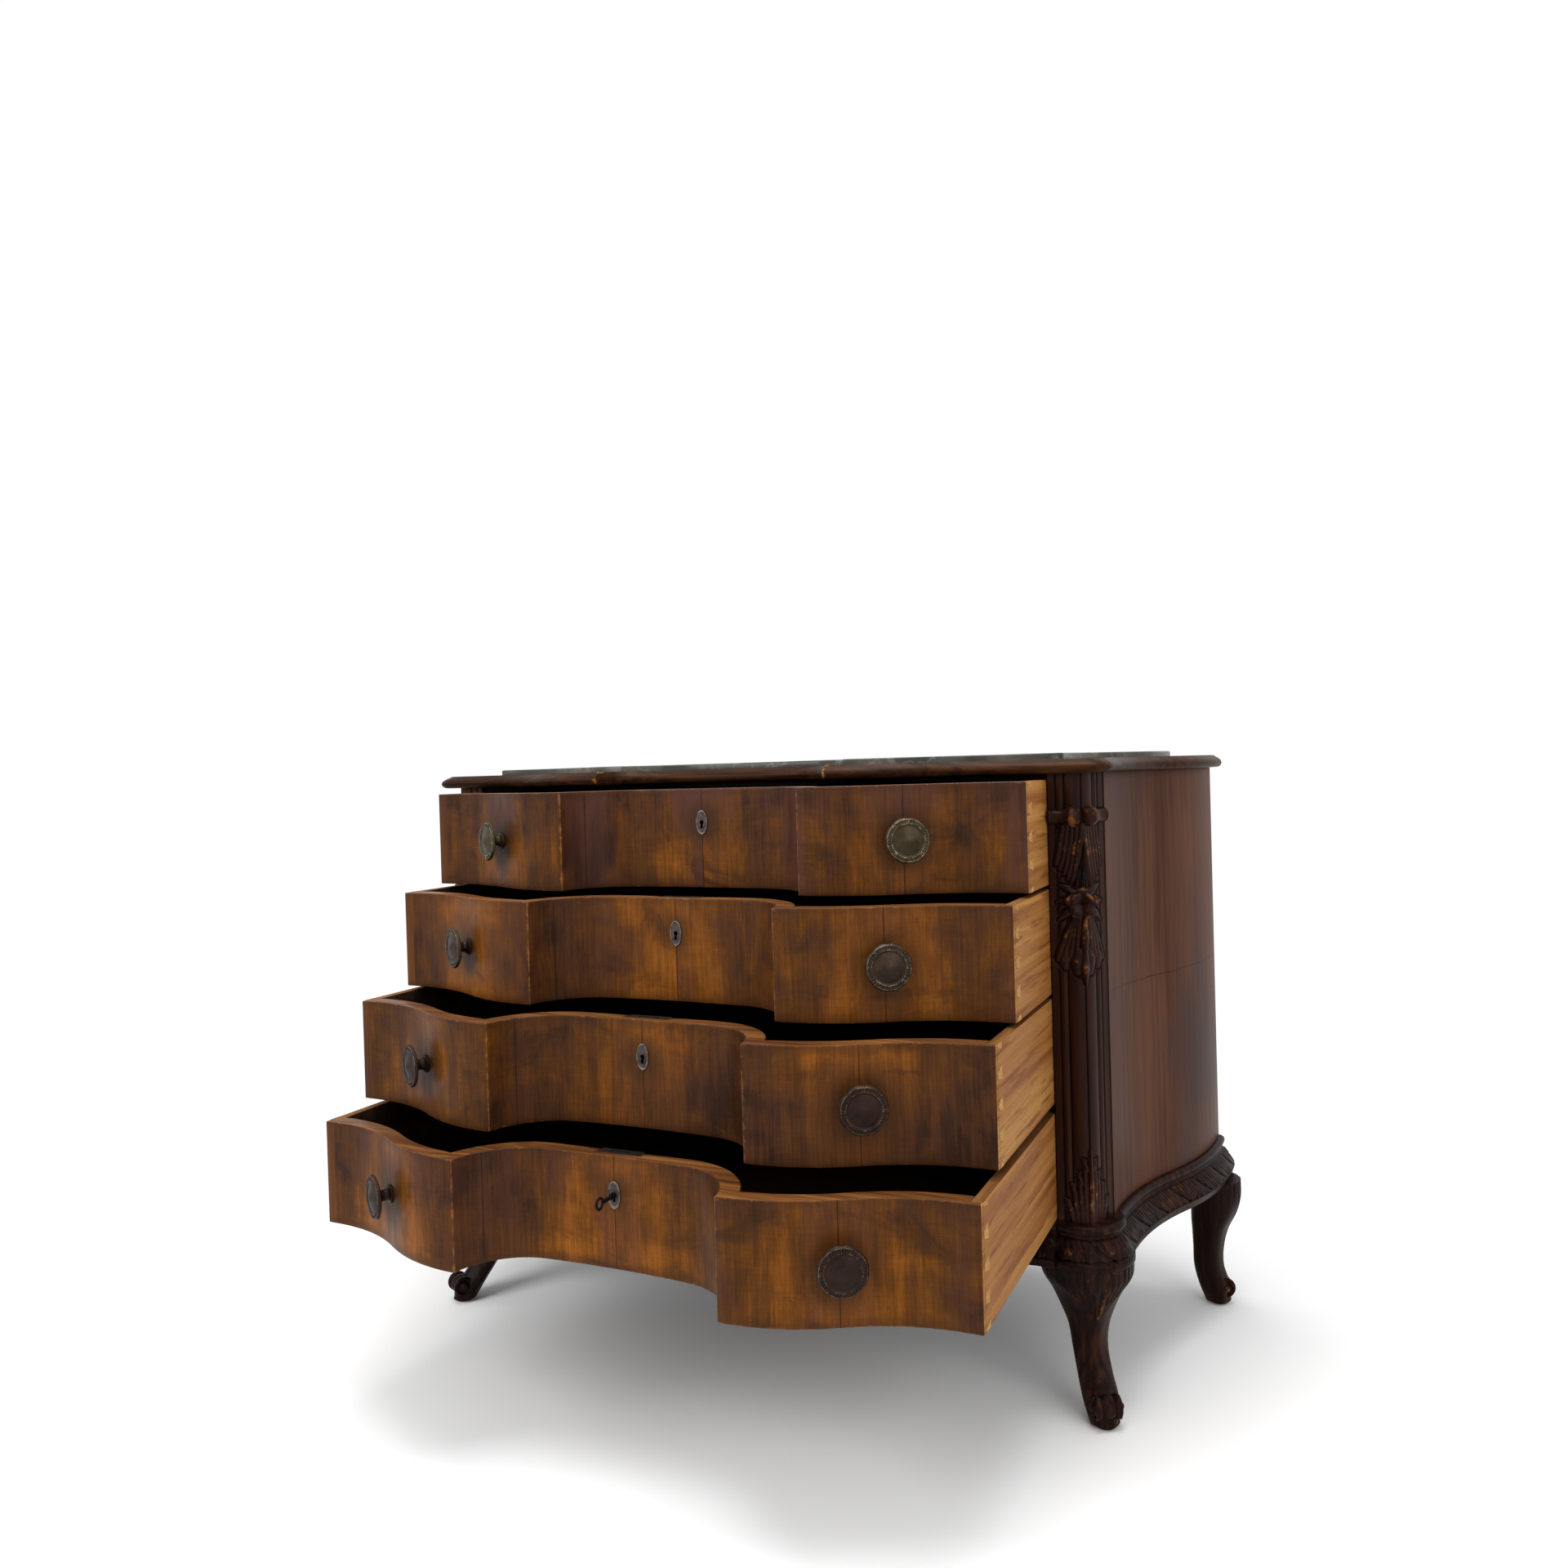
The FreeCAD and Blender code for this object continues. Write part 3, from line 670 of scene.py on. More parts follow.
def panel_walnut(name):
    """Reddish walnut on the flared sides, with upright fibres, a joint, a fine slanting crack and
    bluish-grey patches of painted sheen.
    """
    crack_height, crack_slope, joint_along = 0.3, -0.004, 0.185
    material, tree, shader = new_material(name, Specular_IOR_Level=0.035, IOR=1.5)
    along, height = surface_place(tree)
    place = vector(along, 0.3, height)
    grain = place.grouped(grain_tree, Streaks=120.0, Draw=0.025, Wave=0.5)
    cloud = place.clouds((12.0, 1.0, 3.0), 3.0, 0.5, 0.5)
    share = grain["Streak"] * 0.32 + cloud * 0.8
    colour = share.ramp((0.25, (56, 33, 24)), (0.5, (74, 45, 32)), (0.8, (90, 57, 39)))
    colour = colour.blended((68, 47, 29), height.span(0.52, 0.78, 0.0, 0.5))
    # Bluish-grey patches painted in as the polish's sheen
    murk = place.clouds((6.5, 1.0, 3.6), 3.0, 0.5, 0.6)
    colour = colour.blended((56, 45, 44), murk.span(0.42, 0.72, 0.0, 0.65))
    slant = height - (along * crack_slope + crack_height)
    wander = place.clouds((18.0, 1.0, 18.0), 3.0) * 0.012
    crack = abs(slant + wander).span(0.0014, 0.0004)
    joint = abs(along - joint_along).span(0.0012, 0.0004)
    colour = colour.blended((38, 24, 20), (crack * 0.6).maths("MAXIMUM", joint * 0.35))
    colour = colour.blended((130, 88, 56), place.worn(0.4, 70.0)["Bare"] * 0.15)
    gloss = cloud.span(0.2, 0.8, 0.34, 0.46)
    finish_surface(tree, shader, colour, gloss, grain["Streak"], 0.1, 0.0005)
    return material


def marble():
    """Dark grey-green marble with pale broken veins."""
    material, tree, shader = new_material("dark_marble", Specular_IOR_Level=0.18, IOR=1.55)
    place = object_place(tree)
    cloud = place.clouds((7.0, 7.0, 7.0), 5.0, 0.58, 0.8)
    fine = place.clouds((6.0, 9.0, 9.0), 7.0, 0.62, 0.5)
    body = cloud.ramp((0.3, (34, 36, 32)), (0.5, (62, 62, 55)), (0.62, (92, 88, 78)), (0.8, (54, 46, 40)))
    vein = abs(fine - 0.5).span(0.020, 0.002)
    colour = body.blended((150, 146, 134), vein * 0.2)
    finish_surface(tree, shader, colour, cloud.span(0.3, 0.7, 0.16, 0.26), fine, 0.04, 0.0004)
    return material


def metal(name, low, middle, high, metallic, rough):
    """Old cast metal: dark in the hollows, rubbed on the high places."""
    material, tree, shader = new_material(name, Metallic=metallic, Specular_IOR_Level=0.15)
    place = object_place(tree)
    cloud = place.clouds((60.0, 60.0, 60.0), 4.0, 0.6)
    speck = place.clouds((600.0, 600.0, 600.0), 3.0, 0.6)
    wear = place.worn(0.7, 150.0)
    colour = (cloud + speck.swing(0.3)).ramp((0.3, low), (0.7, middle))
    colour = colour.blended(high, wear["Bare"] * 0.7).blended((14, 12, 12), wear["Dirt"] * 0.9)
    gloss = (cloud + speck * 0.3).span(0.3, 0.9, rough - 0.08, rough + 0.15)
    finish_surface(tree, shader, colour, gloss, speck, 0.15, 0.0003)
    return material


FLAT_X = (0.0, math.pi / 2, 0.0)
FLAT_Y = (math.pi / 2, 0.0, 0.0)
UPRIGHT = (0.0, 0.0, 0.0)
# Each leaf's seed, tone, mottle, dark clouds and share of painted purple-grey sheen
veneer_leaves = [(1.3, 0.34, 1.1, 0.8, 0.8), (4.1, 0.06, 0.8, 0.6, 0.3),
                 (7.7, 0.22, 0.9, 0.65, 0.2), (12.4, 0.10, 0.8, 0.6, 0.35)]
veneers = [veneer(f"veneer_{number}", *values) for number, values in enumerate(veneer_leaves, 1)]
edge_wood = timber("front_edge_wood", (56, 30, 13), (88, 52, 22), (118, 76, 36), FLAT_X, 0.44, 120, 0.03,
                   rubbed=0.22, bare=(138, 90, 48), shine=0.1)
pine = timber("pine", (112, 62, 24), (152, 102, 50), (178, 130, 70), FLAT_Y, 0.55, 60, 0.015, 0.8,
              rubbed=0.2, bare=(190, 146, 88), shine=0.12, wave=0.2, flecks=0.8)
pin_wood = timber("pin_end_grain", (136, 94, 46), (172, 128, 70), (196, 156, 94), FLAT_X, 0.6, 260, 0.5,
                  shine=0.1)
# Very dark pine for inner faces, drawer backs, lock recesses and the case's inside boards: painted shade,
# far darker than the pine itself
painted_shade_pine = timber("painted_shade_pine", (26, 15, 8), (40, 24, 14), (56, 35, 20), FLAT_X, 0.75, 60, 0.03,
                    shine=0.08)
rim_pine = timber("rim_pine", (70, 40, 18), (98, 62, 30), (122, 82, 44), FLAT_Y, 0.6, 60, 0.02, shine=0.08)
bottom_pine = timber("bottom_pine", (72, 46, 26), (100, 67, 38), (126, 87, 52), FLAT_X, 0.7, 60, 0.03,
                     shine=0.08)
back_pine = timber("back_pine", (62, 40, 22), (92, 62, 36), (116, 82, 50), UPRIGHT, 0.7, 60, 0.03,
                   shine=0.08)
top_walnut = timber("top_walnut", (28, 15, 8), (46, 26, 14), (68, 40, 20), FLAT_X, 0.36, 110, 0.03,
                    rubbed=0.5, bare=(170, 114, 50), shine=0.035, wave=0.4)
carved_walnut = timber("carved_walnut", (23, 9, 5), (47, 21, 12), (72, 36, 21), UPRIGHT, 0.38, 110, 0.05,
                       0.45, rubbed=0.30, bare=(138, 88, 46), shine=0.08, wave=0.4)
dark_walnut = timber("dark_walnut", (14, 7, 5), (31, 16, 11), (62, 34, 21), UPRIGHT, 0.38, 110, 0.05,
                     0.8, rubbed=0.30, bare=(132, 84, 42), shine=0.05, wave=0.4)
side_walnut = panel_walnut("side_walnut")
stone = marble()
olive_brass = metal("olive_brass", (40, 33, 21), (70, 59, 39), (176, 164, 134), 0.5, 0.3)
brown_brass = metal("brown_brass", (34, 26, 20), (60, 47, 36), (150, 134, 110), 0.5, 0.34)
plate_brass = metal("plate_brass", (50, 43, 43), (84, 74, 73), (146, 134, 114), 0.5, 0.4)
dark_brass = metal("dark_brass", (28, 18, 15), (48, 32, 26), (124, 102, 74), 0.45, 0.42)
knob_metals = [olive_brass, brown_brass, dark_brass, dark_brass]
lock_iron = metal("tarnished_iron", (46, 31, 19), (74, 52, 33), (104, 82, 58), 0.4, 0.5)
iron = metal("dull_iron", (28, 22, 19), (48, 40, 35), (92, 82, 70), 0.6, 0.5)

# Drawers


def front_plan():
    """The closed plan of a drawer front, with a label for the finish of each wall."""
    outer = mirrored(front_half())
    inner = mirrored(inner_half())[::-1]
    tail_x = drawer_half - side_thickness
    right = np.array([(drawer_half, 0), (drawer_half, front_lap),
                      (tail_x, front_lap), (tail_x, front_thickness)])
    left = right[::-1] * [-1, 1]
    points = np.concatenate([outer, right, inner, left])
    marks = [0] * len(outer) + [3, 1, 1, 1] + [1] * len(inner) + [1, 1, 3, 0]
    return softened_plan((points, marks), arris_round)


lock_half, lock_height, lock_depth = 0.030, 0.064, 0.014
keyhole_radius, slot_half, slot_drop = 0.0032, 0.0018, 0.011
cut_room = 0.0003


def keyhole_outline(count):
    """The keyhole's edge as plan points about the round part's middle, x across and y up."""
    gap = math.asin(slot_half / keyhole_radius)
    angles = np.linspace(-math.pi / 2 + gap, 3 * math.pi / 2 - gap, count - 2)
    round_part = keyhole_radius * around(angles)
    return np.concatenate([round_part, [(-slot_half, -slot_drop), (slot_half, -slot_drop)]])


def front_cutter(line, top):
    """What is let into a front: the lock's recess and the keyhole."""
    stock = Stock()
    inner = line + centre_recess + front_thickness
    lock_y = inner - lock_depth
    x, y0, y1 = lock_half + cut_room, lock_y - cut_room, inner + lock_depth
    z0, z1 = top - lock_height - cut_room, top + lock_depth
    corners = [(a, b, c) for a in (-x, x) for b in (y0, y1) for c in (z0, z1)]
    stock.add(corners, box_faces, 1)
    ring = keyhole_outline(22)
    ends = (line - lock_depth, lock_y + lock_depth / 4)
    rows = [[(x, y, top - keyhole_drop + z) for x, z in ring] for y in ends]
    count = len(ring)
    faces = grid_faces(2, count, close_columns=True)
    faces += [tuple(range(count)), tuple(range(2 * count - 1, count - 1, -1))]
    stock.add(np.concatenate(rows), faces, 1)
    return stock.piece("cutter", [edge_wood, painted_shade_pine])


def cut_from(piece, cutter):
    """The piece with the cutter's shape taken out of it, as a plain mesh."""
    cut = piece.modifiers.new("cut", "BOOLEAN")
    cut.object, cut.operation, cut.solver = cutter, "DIFFERENCE", "EXACT"
    mesh = evaluated_mesh(piece)
    piece.modifiers.clear()
    piece.data = tidy_mesh(mesh, 40)
    bpy.data.objects.remove(cutter)
    return piece


rim_round, break_round, worn_reach = 0.0011, 0.0004, 0.0035


def drawer_front(number, line, low, high):
    plan, marks = front_plan()
    along = lengths(plan, True)
    middle = along[np.argmin(np.abs(plan[:, 0]) + plan[:, 1] * (plan[:, 1] > centre_recess * 1.5) * 9)]
    draws = random.Random(number)
    wobble = np.array([draws.uniform(0.7, 1.3) for _ in plan])
    for _ in range(3):
        wobble = (np.roll(wobble, 1) + wobble + np.roll(wobble, -1)) / 3
    at_break = np.abs(np.abs(plan[:, 0]) - break_x) < 0.004
    radius = rim_round * wobble + break_round * at_break
    stock = Stock()
    height = high - low
    rows = [0.005, 0.012, 0.3 * height, 0.5 * height, 0.7 * height, height - 0.012, height - 0.005]
    rounded_prism(stock, plan + [0, line], marks, low, high, radius, 2, along - middle, rows)
    relief = np.array(stock.reliefs)
    out = np.abs(along - middle)
    at_crest = out[np.argmin(np.hypot(plan[:, 0] - break_x, plan[:, 1] + crest_reach))]
    corner = np.tile(np.exp(-np.abs(out - at_crest) / worn_reach), len(relief) // len(plan))
    stock.reliefs = list(np.maximum(relief, 0.5 + 0.5 * corner))
    # The front's inner walls, and the lock recess cut below, take the very dark pine as painted shade
    piece = stock.piece(f"front_{number}", [veneers[number - 1], painted_shade_pine, edge_wood, pine])
    cut_from(piece, front_cutter(line, high))
    return fitted(piece, f"drawer_{number}", "veneer", f"drawer_{number}_front")


def softened_copy(node, name, width, materials, inward):
    """A frame node's mesh with eased edges, whose outer, inner and top faces take the three materials."""
    work = bmesh.new()
    work.from_mesh(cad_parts[node].data)
    bmesh.ops.remove_doubles(work, verts=work.verts, dist=weld)
    bmesh.ops.dissolve_limit(work, angle_limit=math.radians(1), verts=work.verts, edges=work.edges)
    sharp = [edge for edge in work.edges if edge.is_manifold and edge.calc_face_angle() > math.radians(30)]
    bmesh.ops.bevel(work, geom=sharp, offset=width, segments=2, profile=0.5, affect="EDGES",
                    clamp_overlap=True)
    mesh = bpy.data.meshes.new(name)
    work.to_mesh(mesh)
    work.free()
    mesh.materials.clear()
    for material in materials:
        mesh.materials.append(material)
    for face in mesh.polygons:
        face.material_index = 2 if face.normal.z > 0.7 else int(face.normal.x * inward > 0.7)
    set_relief(mesh, np.full(len(mesh.vertices), 0.5))
    return linked(name, tidy_mesh(mesh, 35))


# Small pieces set along a path by geometry nodes


path_kinds = [("Path", "Geometry"), ("Piece", "Object"), ("Count", "Int"), ("Finish", "Material")]


def path_tree():
    """Geometry nodes that set copies of a small piece evenly along a path."""
    tree = bpy.data.node_groups.new("pieces_along_path", "GeometryNodeTree")
    for label, kind in path_kinds:
        tree.interface.new_socket(label, in_out="INPUT", socket_type="NodeSocket" + kind)
    tree.interface.new_socket("Result", in_out="OUTPUT", socket_type="NodeSocketGeometry")
    given = tree.nodes.new("NodeGroupInput").outputs
    curve = wire(tree, "GeometryNodeMeshToCurve", {"Mesh": given["Path"]}).outputs[0]
    even = wire(tree, "GeometryNodeResampleCurve", {"Curve": curve, "Count": given["Count"]}).outputs[0]
    piece = wire(tree, "GeometryNodeObjectInfo", {"Object": given["Piece"]}).outputs["Geometry"]
    copies = wire(tree, "GeometryNodeInstanceOnPoints", {"Points": even, "Instance": piece}).outputs[0]
    whole = wire(tree, "GeometryNodeRealizeInstances", {"Geometry": copies}).outputs[0]
    finished = {"Geometry": whole, "Material": given["Finish"]}
    done = wire(tree, "GeometryNodeSetMaterial", finished).outputs[0]
    tree.links.new(done, tree.nodes.new("NodeGroupOutput").inputs[0])
    return tree


path_nodes = path_tree()
path_inputs = {item.name: item.identifier for item in path_nodes.interface.items_tree}


def set_along(name, runs, piece, count, finish, closed):
    """Copies of a piece set along runs of places, as one plain mesh."""
    points, edges = [], []
    for run in runs:
        first, last = len(points), len(points) + len(run) - 1
        points.extend(map(tuple, run))
        edges.extend((index, index + 1) for index in range(first, last))
        edges.extend([(last, first)] if closed else [])
    line = bpy.data.meshes.new(name)
    line.from_pydata(points, edges, [])
    holder = linked(name, line)
    nodes = holder.modifiers.new("pieces", "NODES")
    nodes.node_group = path_nodes
    for label, value in (("Piece", piece), ("Count", count), ("Finish", finish)):
        nodes[path_inputs[label]] = value
    mesh = evaluated_mesh(holder)
    holder.modifiers.clear()
    holder.data = tidy_mesh(mesh, 40)
    bpy.data.objects.remove(piece)
    return holder


tail_count, pin_narrow, pin_wide = 4, 0.009, 0.017
pin_room, pin_proud = 0.0004, 0.0001


def pin_corners(middle, low, high):
    """The corners of one pin about its middle height, kept between two heights."""
    half = side_thickness / 2 + pin_proud
    return [(x, y, np.clip(middle + sign * width / 2, low, high)) for x in (-half, half)
            for y, width in ((0, pin_narrow - pin_room), (front_thickness - front_lap, pin_wide - pin_room))
            for sign in (-1, 1)]


half_pin_finishes = [0, 0, 0, 0, 0, 1]


def drawer_pins(number, line, low, high):
    """The front's dovetail pins between the sides' tails, with a half pin at each end."""
    pitch = (high - low) / tail_count
    pin = Stock().add(pin_corners(0, -1, 1), box_faces).piece("pin", [pin_wood], 30)
    x, y = drawer_half - side_thickness / 2, line + front_lap
    runs = [[(side * x, y, low + pitch), (side * x, y, high - pitch)] for side in (-1, 1)]
    made = set_along(f"pins_{number}", runs, pin, tail_count - 1, pin_wood, False)
    fitted(made, f"drawer_{number}", "pine")
    halves = Stock()
    for side in (-1, 1):
        for end in (low, high):
            corners = np.array(pin_corners(end, low, high)) + [side * x, y, 0]
            halves.add(corners, box_faces, half_pin_finishes)
    made = halves.piece(f"half_pins_{number}", [pin_wood, rim_pine], 30)
    fitted(made, f"drawer_{number}", "pine")


knob_radius, knob_reach = 0.0285, 0.028
knob_shares = [(0.0, 0.0), (0.41, 0.0), (0.42, 0.03), (0.41, 0.08), (0.33, 0.11), (0.27, 0.18),
               (0.245, 0.28), (0.25, 0.4), (0.30, 0.5), (0.40, 0.575), (0.62, 0.62), (0.86, 0.66),
               (0.97, 0.70), (1.0, 0.745), (0.985, 0.79), (0.955, 0.825), (0.93, 0.845), (0.89, 0.86),
               (0.84, 0.868), (0.79, 0.87), (0.74, 0.868), (0.70, 0.86), (0.67, 0.845), (0.655, 0.835),
               (0.635, 0.835), (0.615, 0.85), (0.55, 0.868), (0.4, 0.90), (0.2, 0.955), (0.06, 0.99),
               (0.0, 1.0)]
rim_panels, rim_carving = 8, 0.0011


def knob_stock():
    """One knob about Z: a turned mushroom whose rim has framed panels with small leaves between ties."""
    count = 160
    profile = [(radius * knob_radius, reach * knob_reach) for radius, reach in knob_shares]
    points, faces = turned(profile, count)
    angles = np.tile(np.arange(count) / count, len(profile))
    share = np.repeat([radius for radius, _ in knob_shares], count)
    face = np.repeat([reach > 0.8 for _, reach in knob_shares], count)
    cell = (angles * rim_panels) % 1
    band = np.clip((share - 0.70) / 0.24, 0, 1) * face
    inside = (band > 0.02) & (band < 0.98)
    tie = np.maximum(hump(cell - 0.06, 0.045), hump(cell - 0.94, 0.045))
    frame_line = np.maximum(hump(band - 0.1, 0.12), hump(band - 0.92, 0.12))
    leaf = 0.5 + 0.5 * np.cos((cell - 0.5) * TAU * 5 + (band - 0.5) * 5 * np.sign(cell - 0.5))
    field = leaf * hump(band - 0.5, 0.4) * (np.abs(cell - 0.5) < 0.36)
    height = inside * np.maximum(np.maximum(tie * 0.9, frame_line), field * 0.7)
    points[:, 2] += (height - 0.55 * inside) * rim_carving
    edge = (share > 0.94) & (share <= 1.0)
    points[:, :2] *= (1 - 0.02 * edge * (tie > 0.2))[:, None]
    relief = np.where(inside, 0.15 + 0.8 * height, 0.5 + 0.04 * (share < 0.6) * face)
    return points, faces, relief


knob_points, knob_faces, knob_relief = knob_stock()
wing_middle = len(wing_line) // 2
knob_place = wing_line[wing_middle]
knob_turn = math.atan2(*(wing_line[wing_middle + 1] - wing_line[wing_middle - 1])[::-1])


def drawer_knobs(number, line, low, high):
    stock = Stock()
    middle = (low + high) / 2
    for side in (-1, 1):
        across = np.array([math.cos(knob_turn), side * math.sin(knob_turn), 0])
        outward = np.array([side * math.sin(knob_turn), -math.cos(knob_turn), 0])
        spot = (side * knob_place[0], knob_place[1] + line, middle)
        points = placed(knob_points, spot, across, (0, 0, 1), outward)
        stock.add(points, knob_faces, relief=knob_relief)
    made = stock.piece(f"knobs_{number}", [knob_metals[number - 1]], 50)
    return fitted(made, f"drawer_{number}", "brass", f"drawer_{number}_knobs")


plate_half_width, plate_half_height, plate_thickness = 0.009, 0.0175, 0.002
bead_count, bead_radius = 30, 0.00075


def escutcheon(number, line, high):
    """An oval keyhole plate with a raised rim, a ring of beads and a sunk field."""
    rim = [(1.0, 0.0), (1.0, 0.5), (0.97, 0.8), (0.92, 0.95), (0.87, 0.8), (0.84, 0.55), (0.62, 0.5),
           (0.58, 0.62), (0.5, 0.66)]
    count = 66
    hole = keyhole_outline(count)
    angles = np.arctan2(hole[:, 1], hole[:, 0])
    half_sizes = np.array([plate_half_width, plate_half_height])
    oval = around(angles) * half_sizes
    rows, relief = [], []
    for share, lift in rim:
        rows.append(at_height(oval * share, lift * plate_thickness))
        relief.append(np.full(count, lift))
    for grow, lift in ((1.25, 0.66), (1.0, 0.6), (1.0, 0.05)):
        rows.append(at_height(hole * grow, lift * plate_thickness))
        relief.append(np.full(count, lift))
    spot = (0, line + centre_recess, high - keyhole_drop)
    axes = ((1, 0, 0), (0, 0, 1), (0, -1, 0))
    stock = Stock()
    faces = grid_faces(len(rows), count, close_columns=True)
    stock.add(placed(np.concatenate(rows), spot, *axes), faces, relief=np.concatenate(relief))
    bead_sides, ring_steps = 8, 90
    quarter = np.linspace(0, math.pi / 2, 4)
    dome = [(bead_radius * math.sin(angle), bead_radius * math.cos(angle)) for angle in quarter]
    ball, ball_faces = turned(dome, bead_sides)
    ball_faces.append(tuple(range(len(ball) - bead_sides, len(ball))))
    bead = Stock().add(placed(ball, (0, 0, 0), *axes), ball_faces, relief=np.full(len(ball), 0.9))
    bead = bead.piece("bead", [plate_brass])
    turns = np.arange(ring_steps) * TAU / ring_steps
    ring = at_height(around(turns) * half_sizes * [0.77, 0.81], 0.5 * plate_thickness)
    beads = set_along(f"beads_{number}", [placed(ring, spot, *axes)], bead, bead_count, plate_brass, True)
    fitted(beads, f"drawer_{number}", "brass")
    plate = stock.piece(f"escutcheon_{number}", [plate_brass], 50)
    return fitted(plate, f"drawer_{number}", "brass", f"drawer_{number}_escutcheon")


def build_drawer(number):
    low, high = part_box(f"drawer_{number}_front")
    line = low.y + crest_reach
    drawer_front(number, line, low.z, high.z)
    drawer_pins(number, line, low.z, high.z)
    drawer_knobs(number, line, low.z, high.z)
    escutcheon(number, line, high.z)
    body = f"drawer_{number}"
    # The sides' inner faces and the drawer's back take the very dark pine as painted shade
    for side, inward in (("left", 1), ("right", -1)):
        node = f"{body}_side_{side}"
        finishes = [pine, painted_shade_pine, rim_pine]
        board = softened_copy(node, f"side_{side}_{number}", side_round, finishes, inward)
        fitted(board, body, "pine", node)
    dress(f"{body}_back", painted_shade_pine)
    dress(f"{body}_bottom", bottom_pine)
    dress(f"{body}_lock_case", lock_iron)
    dress(f"{body}_lock_bolt", iron)


def dress(node, material):
    """Gives a frame node that keeps its shape its finish."""
    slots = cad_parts[node].data.materials
    slots.clear()
    slots.append(material)


# Case


def build_top():
    """The wood top: a rounded nose all round, a flat and the marble's seat."""
    height = top_high.z - top_low.z
    nose = [(0.66, 0.0), (0.80, 0.04), (0.90, 0.13), (0.97, 0.25), (1.0, 0.37), (0.985, 0.47), (0.93, 0.58),
            (0.82, 0.69), (0.66, 0.80), (0.48, 0.90), (0.38, 0.96), (0.33, 1.0)]
    corner = 0.030
    seat_inset, seat_corner, seat_back = 0.056, 0.014, 0.024
    slab_room, slab_lift, slab_round = 0.0004, 0.0002, 0.0022
    levels = [(case_plan(share * top_overhang, corner), top_low.z + rise * height) for share, rise in nose]
    for z in (top_high.z, slab_low.z):
        levels.append((case_plan(-seat_inset, seat_corner, seat_back), z))
    count = len(levels[0][0])
    points = np.concatenate([at_height(plan, z) for plan, z in levels])
    relief = np.full((len(levels), count), 0.5)
    across, depth = levels[0][0].T
    relief[:len(nose)] += 0.38 * np.exp(-np.abs(np.abs(across) - break_x) / 0.003) * (depth < front_line)
    relief[len(nose) - 2:len(nose)] += 0.22
    relief[3:6] += 0.1
    stock = Stock().add(points, tube_faces(len(levels), count), relief=relief)
    fitted(stock.piece("wood_top", [top_walnut], 30), "case", "walnut", "top_frame")
    plan = case_plan(-seat_inset - slab_room, seat_corner, seat_back + slab_room)
    slab = rounded_prism(Stock(), plan, [0] * len(plan), slab_low.z + slab_lift, slab_high.z, slab_round, 0)
    fitted(slab.piece("marble_top", [stone], 30), "case", "marble", "marble_slab")


def build_panels():
    """The flared sides."""
    thickness, rim = 0.018, 0.0008
    outer = flare_line(20)
    inner = outer[::-1] - [thickness, 0]
    plan = np.concatenate([outer, inner]) + [0, front_line]
    marks = [0] * len(outer) + [1] * len(inner)
    along = np.concatenate([lengths(outer), lengths(outer)[::-1]])
    stock = rounded_prism(Stock(), plan, marks, base_top, top_under, rim, 1, along, [0.1, 0.3, 0.5])
    # The sides' inner faces take the very dark pine as painted shade
    fitted_pair(stock, "side", [side_walnut, painted_shade_pine], 35, "walnut", "side_panel")


post_arris = 0.045


def stroke(across, rise, path, widths, heights):
    """One carved rib as a field over places: rounded, along a bent path, of changing width and height."""
    start, bend, finish = (np.array(point, float) for point in path)
    reach = max(widths)
    low = np.min([start, bend, finish], 0) - reach
    high = np.max([start, bend, finish], 0) + reach
    near = (across > low[0]) & (across < high[0]) & (rise > low[1]) & (rise < high[1])
    x, z = across[near], rise[near]
    best = np.zeros(x.shape)
    length = np.linalg.norm(bend - start) + np.linalg.norm(finish - bend)
    for t in np.linspace(0, 1, int(length) + 2):
        spot = (1 - t) ** 2 * start + 2 * t * (1 - t) * bend + t * t * finish
        width, lift = (np.interp(t, (0, 0.5, 1), values) for values in (widths, heights))
        best = np.maximum(best, lift * hump(np.hypot(x - spot[0], z - spot[1]), width))
    field = np.zeros(across.shape)
    field[near] = best
    return field


def strokes(across, rise, marks, grow=0.0):
    """The highest of several ribs at each place, all in millimetres."""
    field = np.zeros(across.shape)
    for path, widths, heights in marks:
        field = np.maximum(field, stroke(across, rise, path, [width + grow for width in widths], heights))
    return field


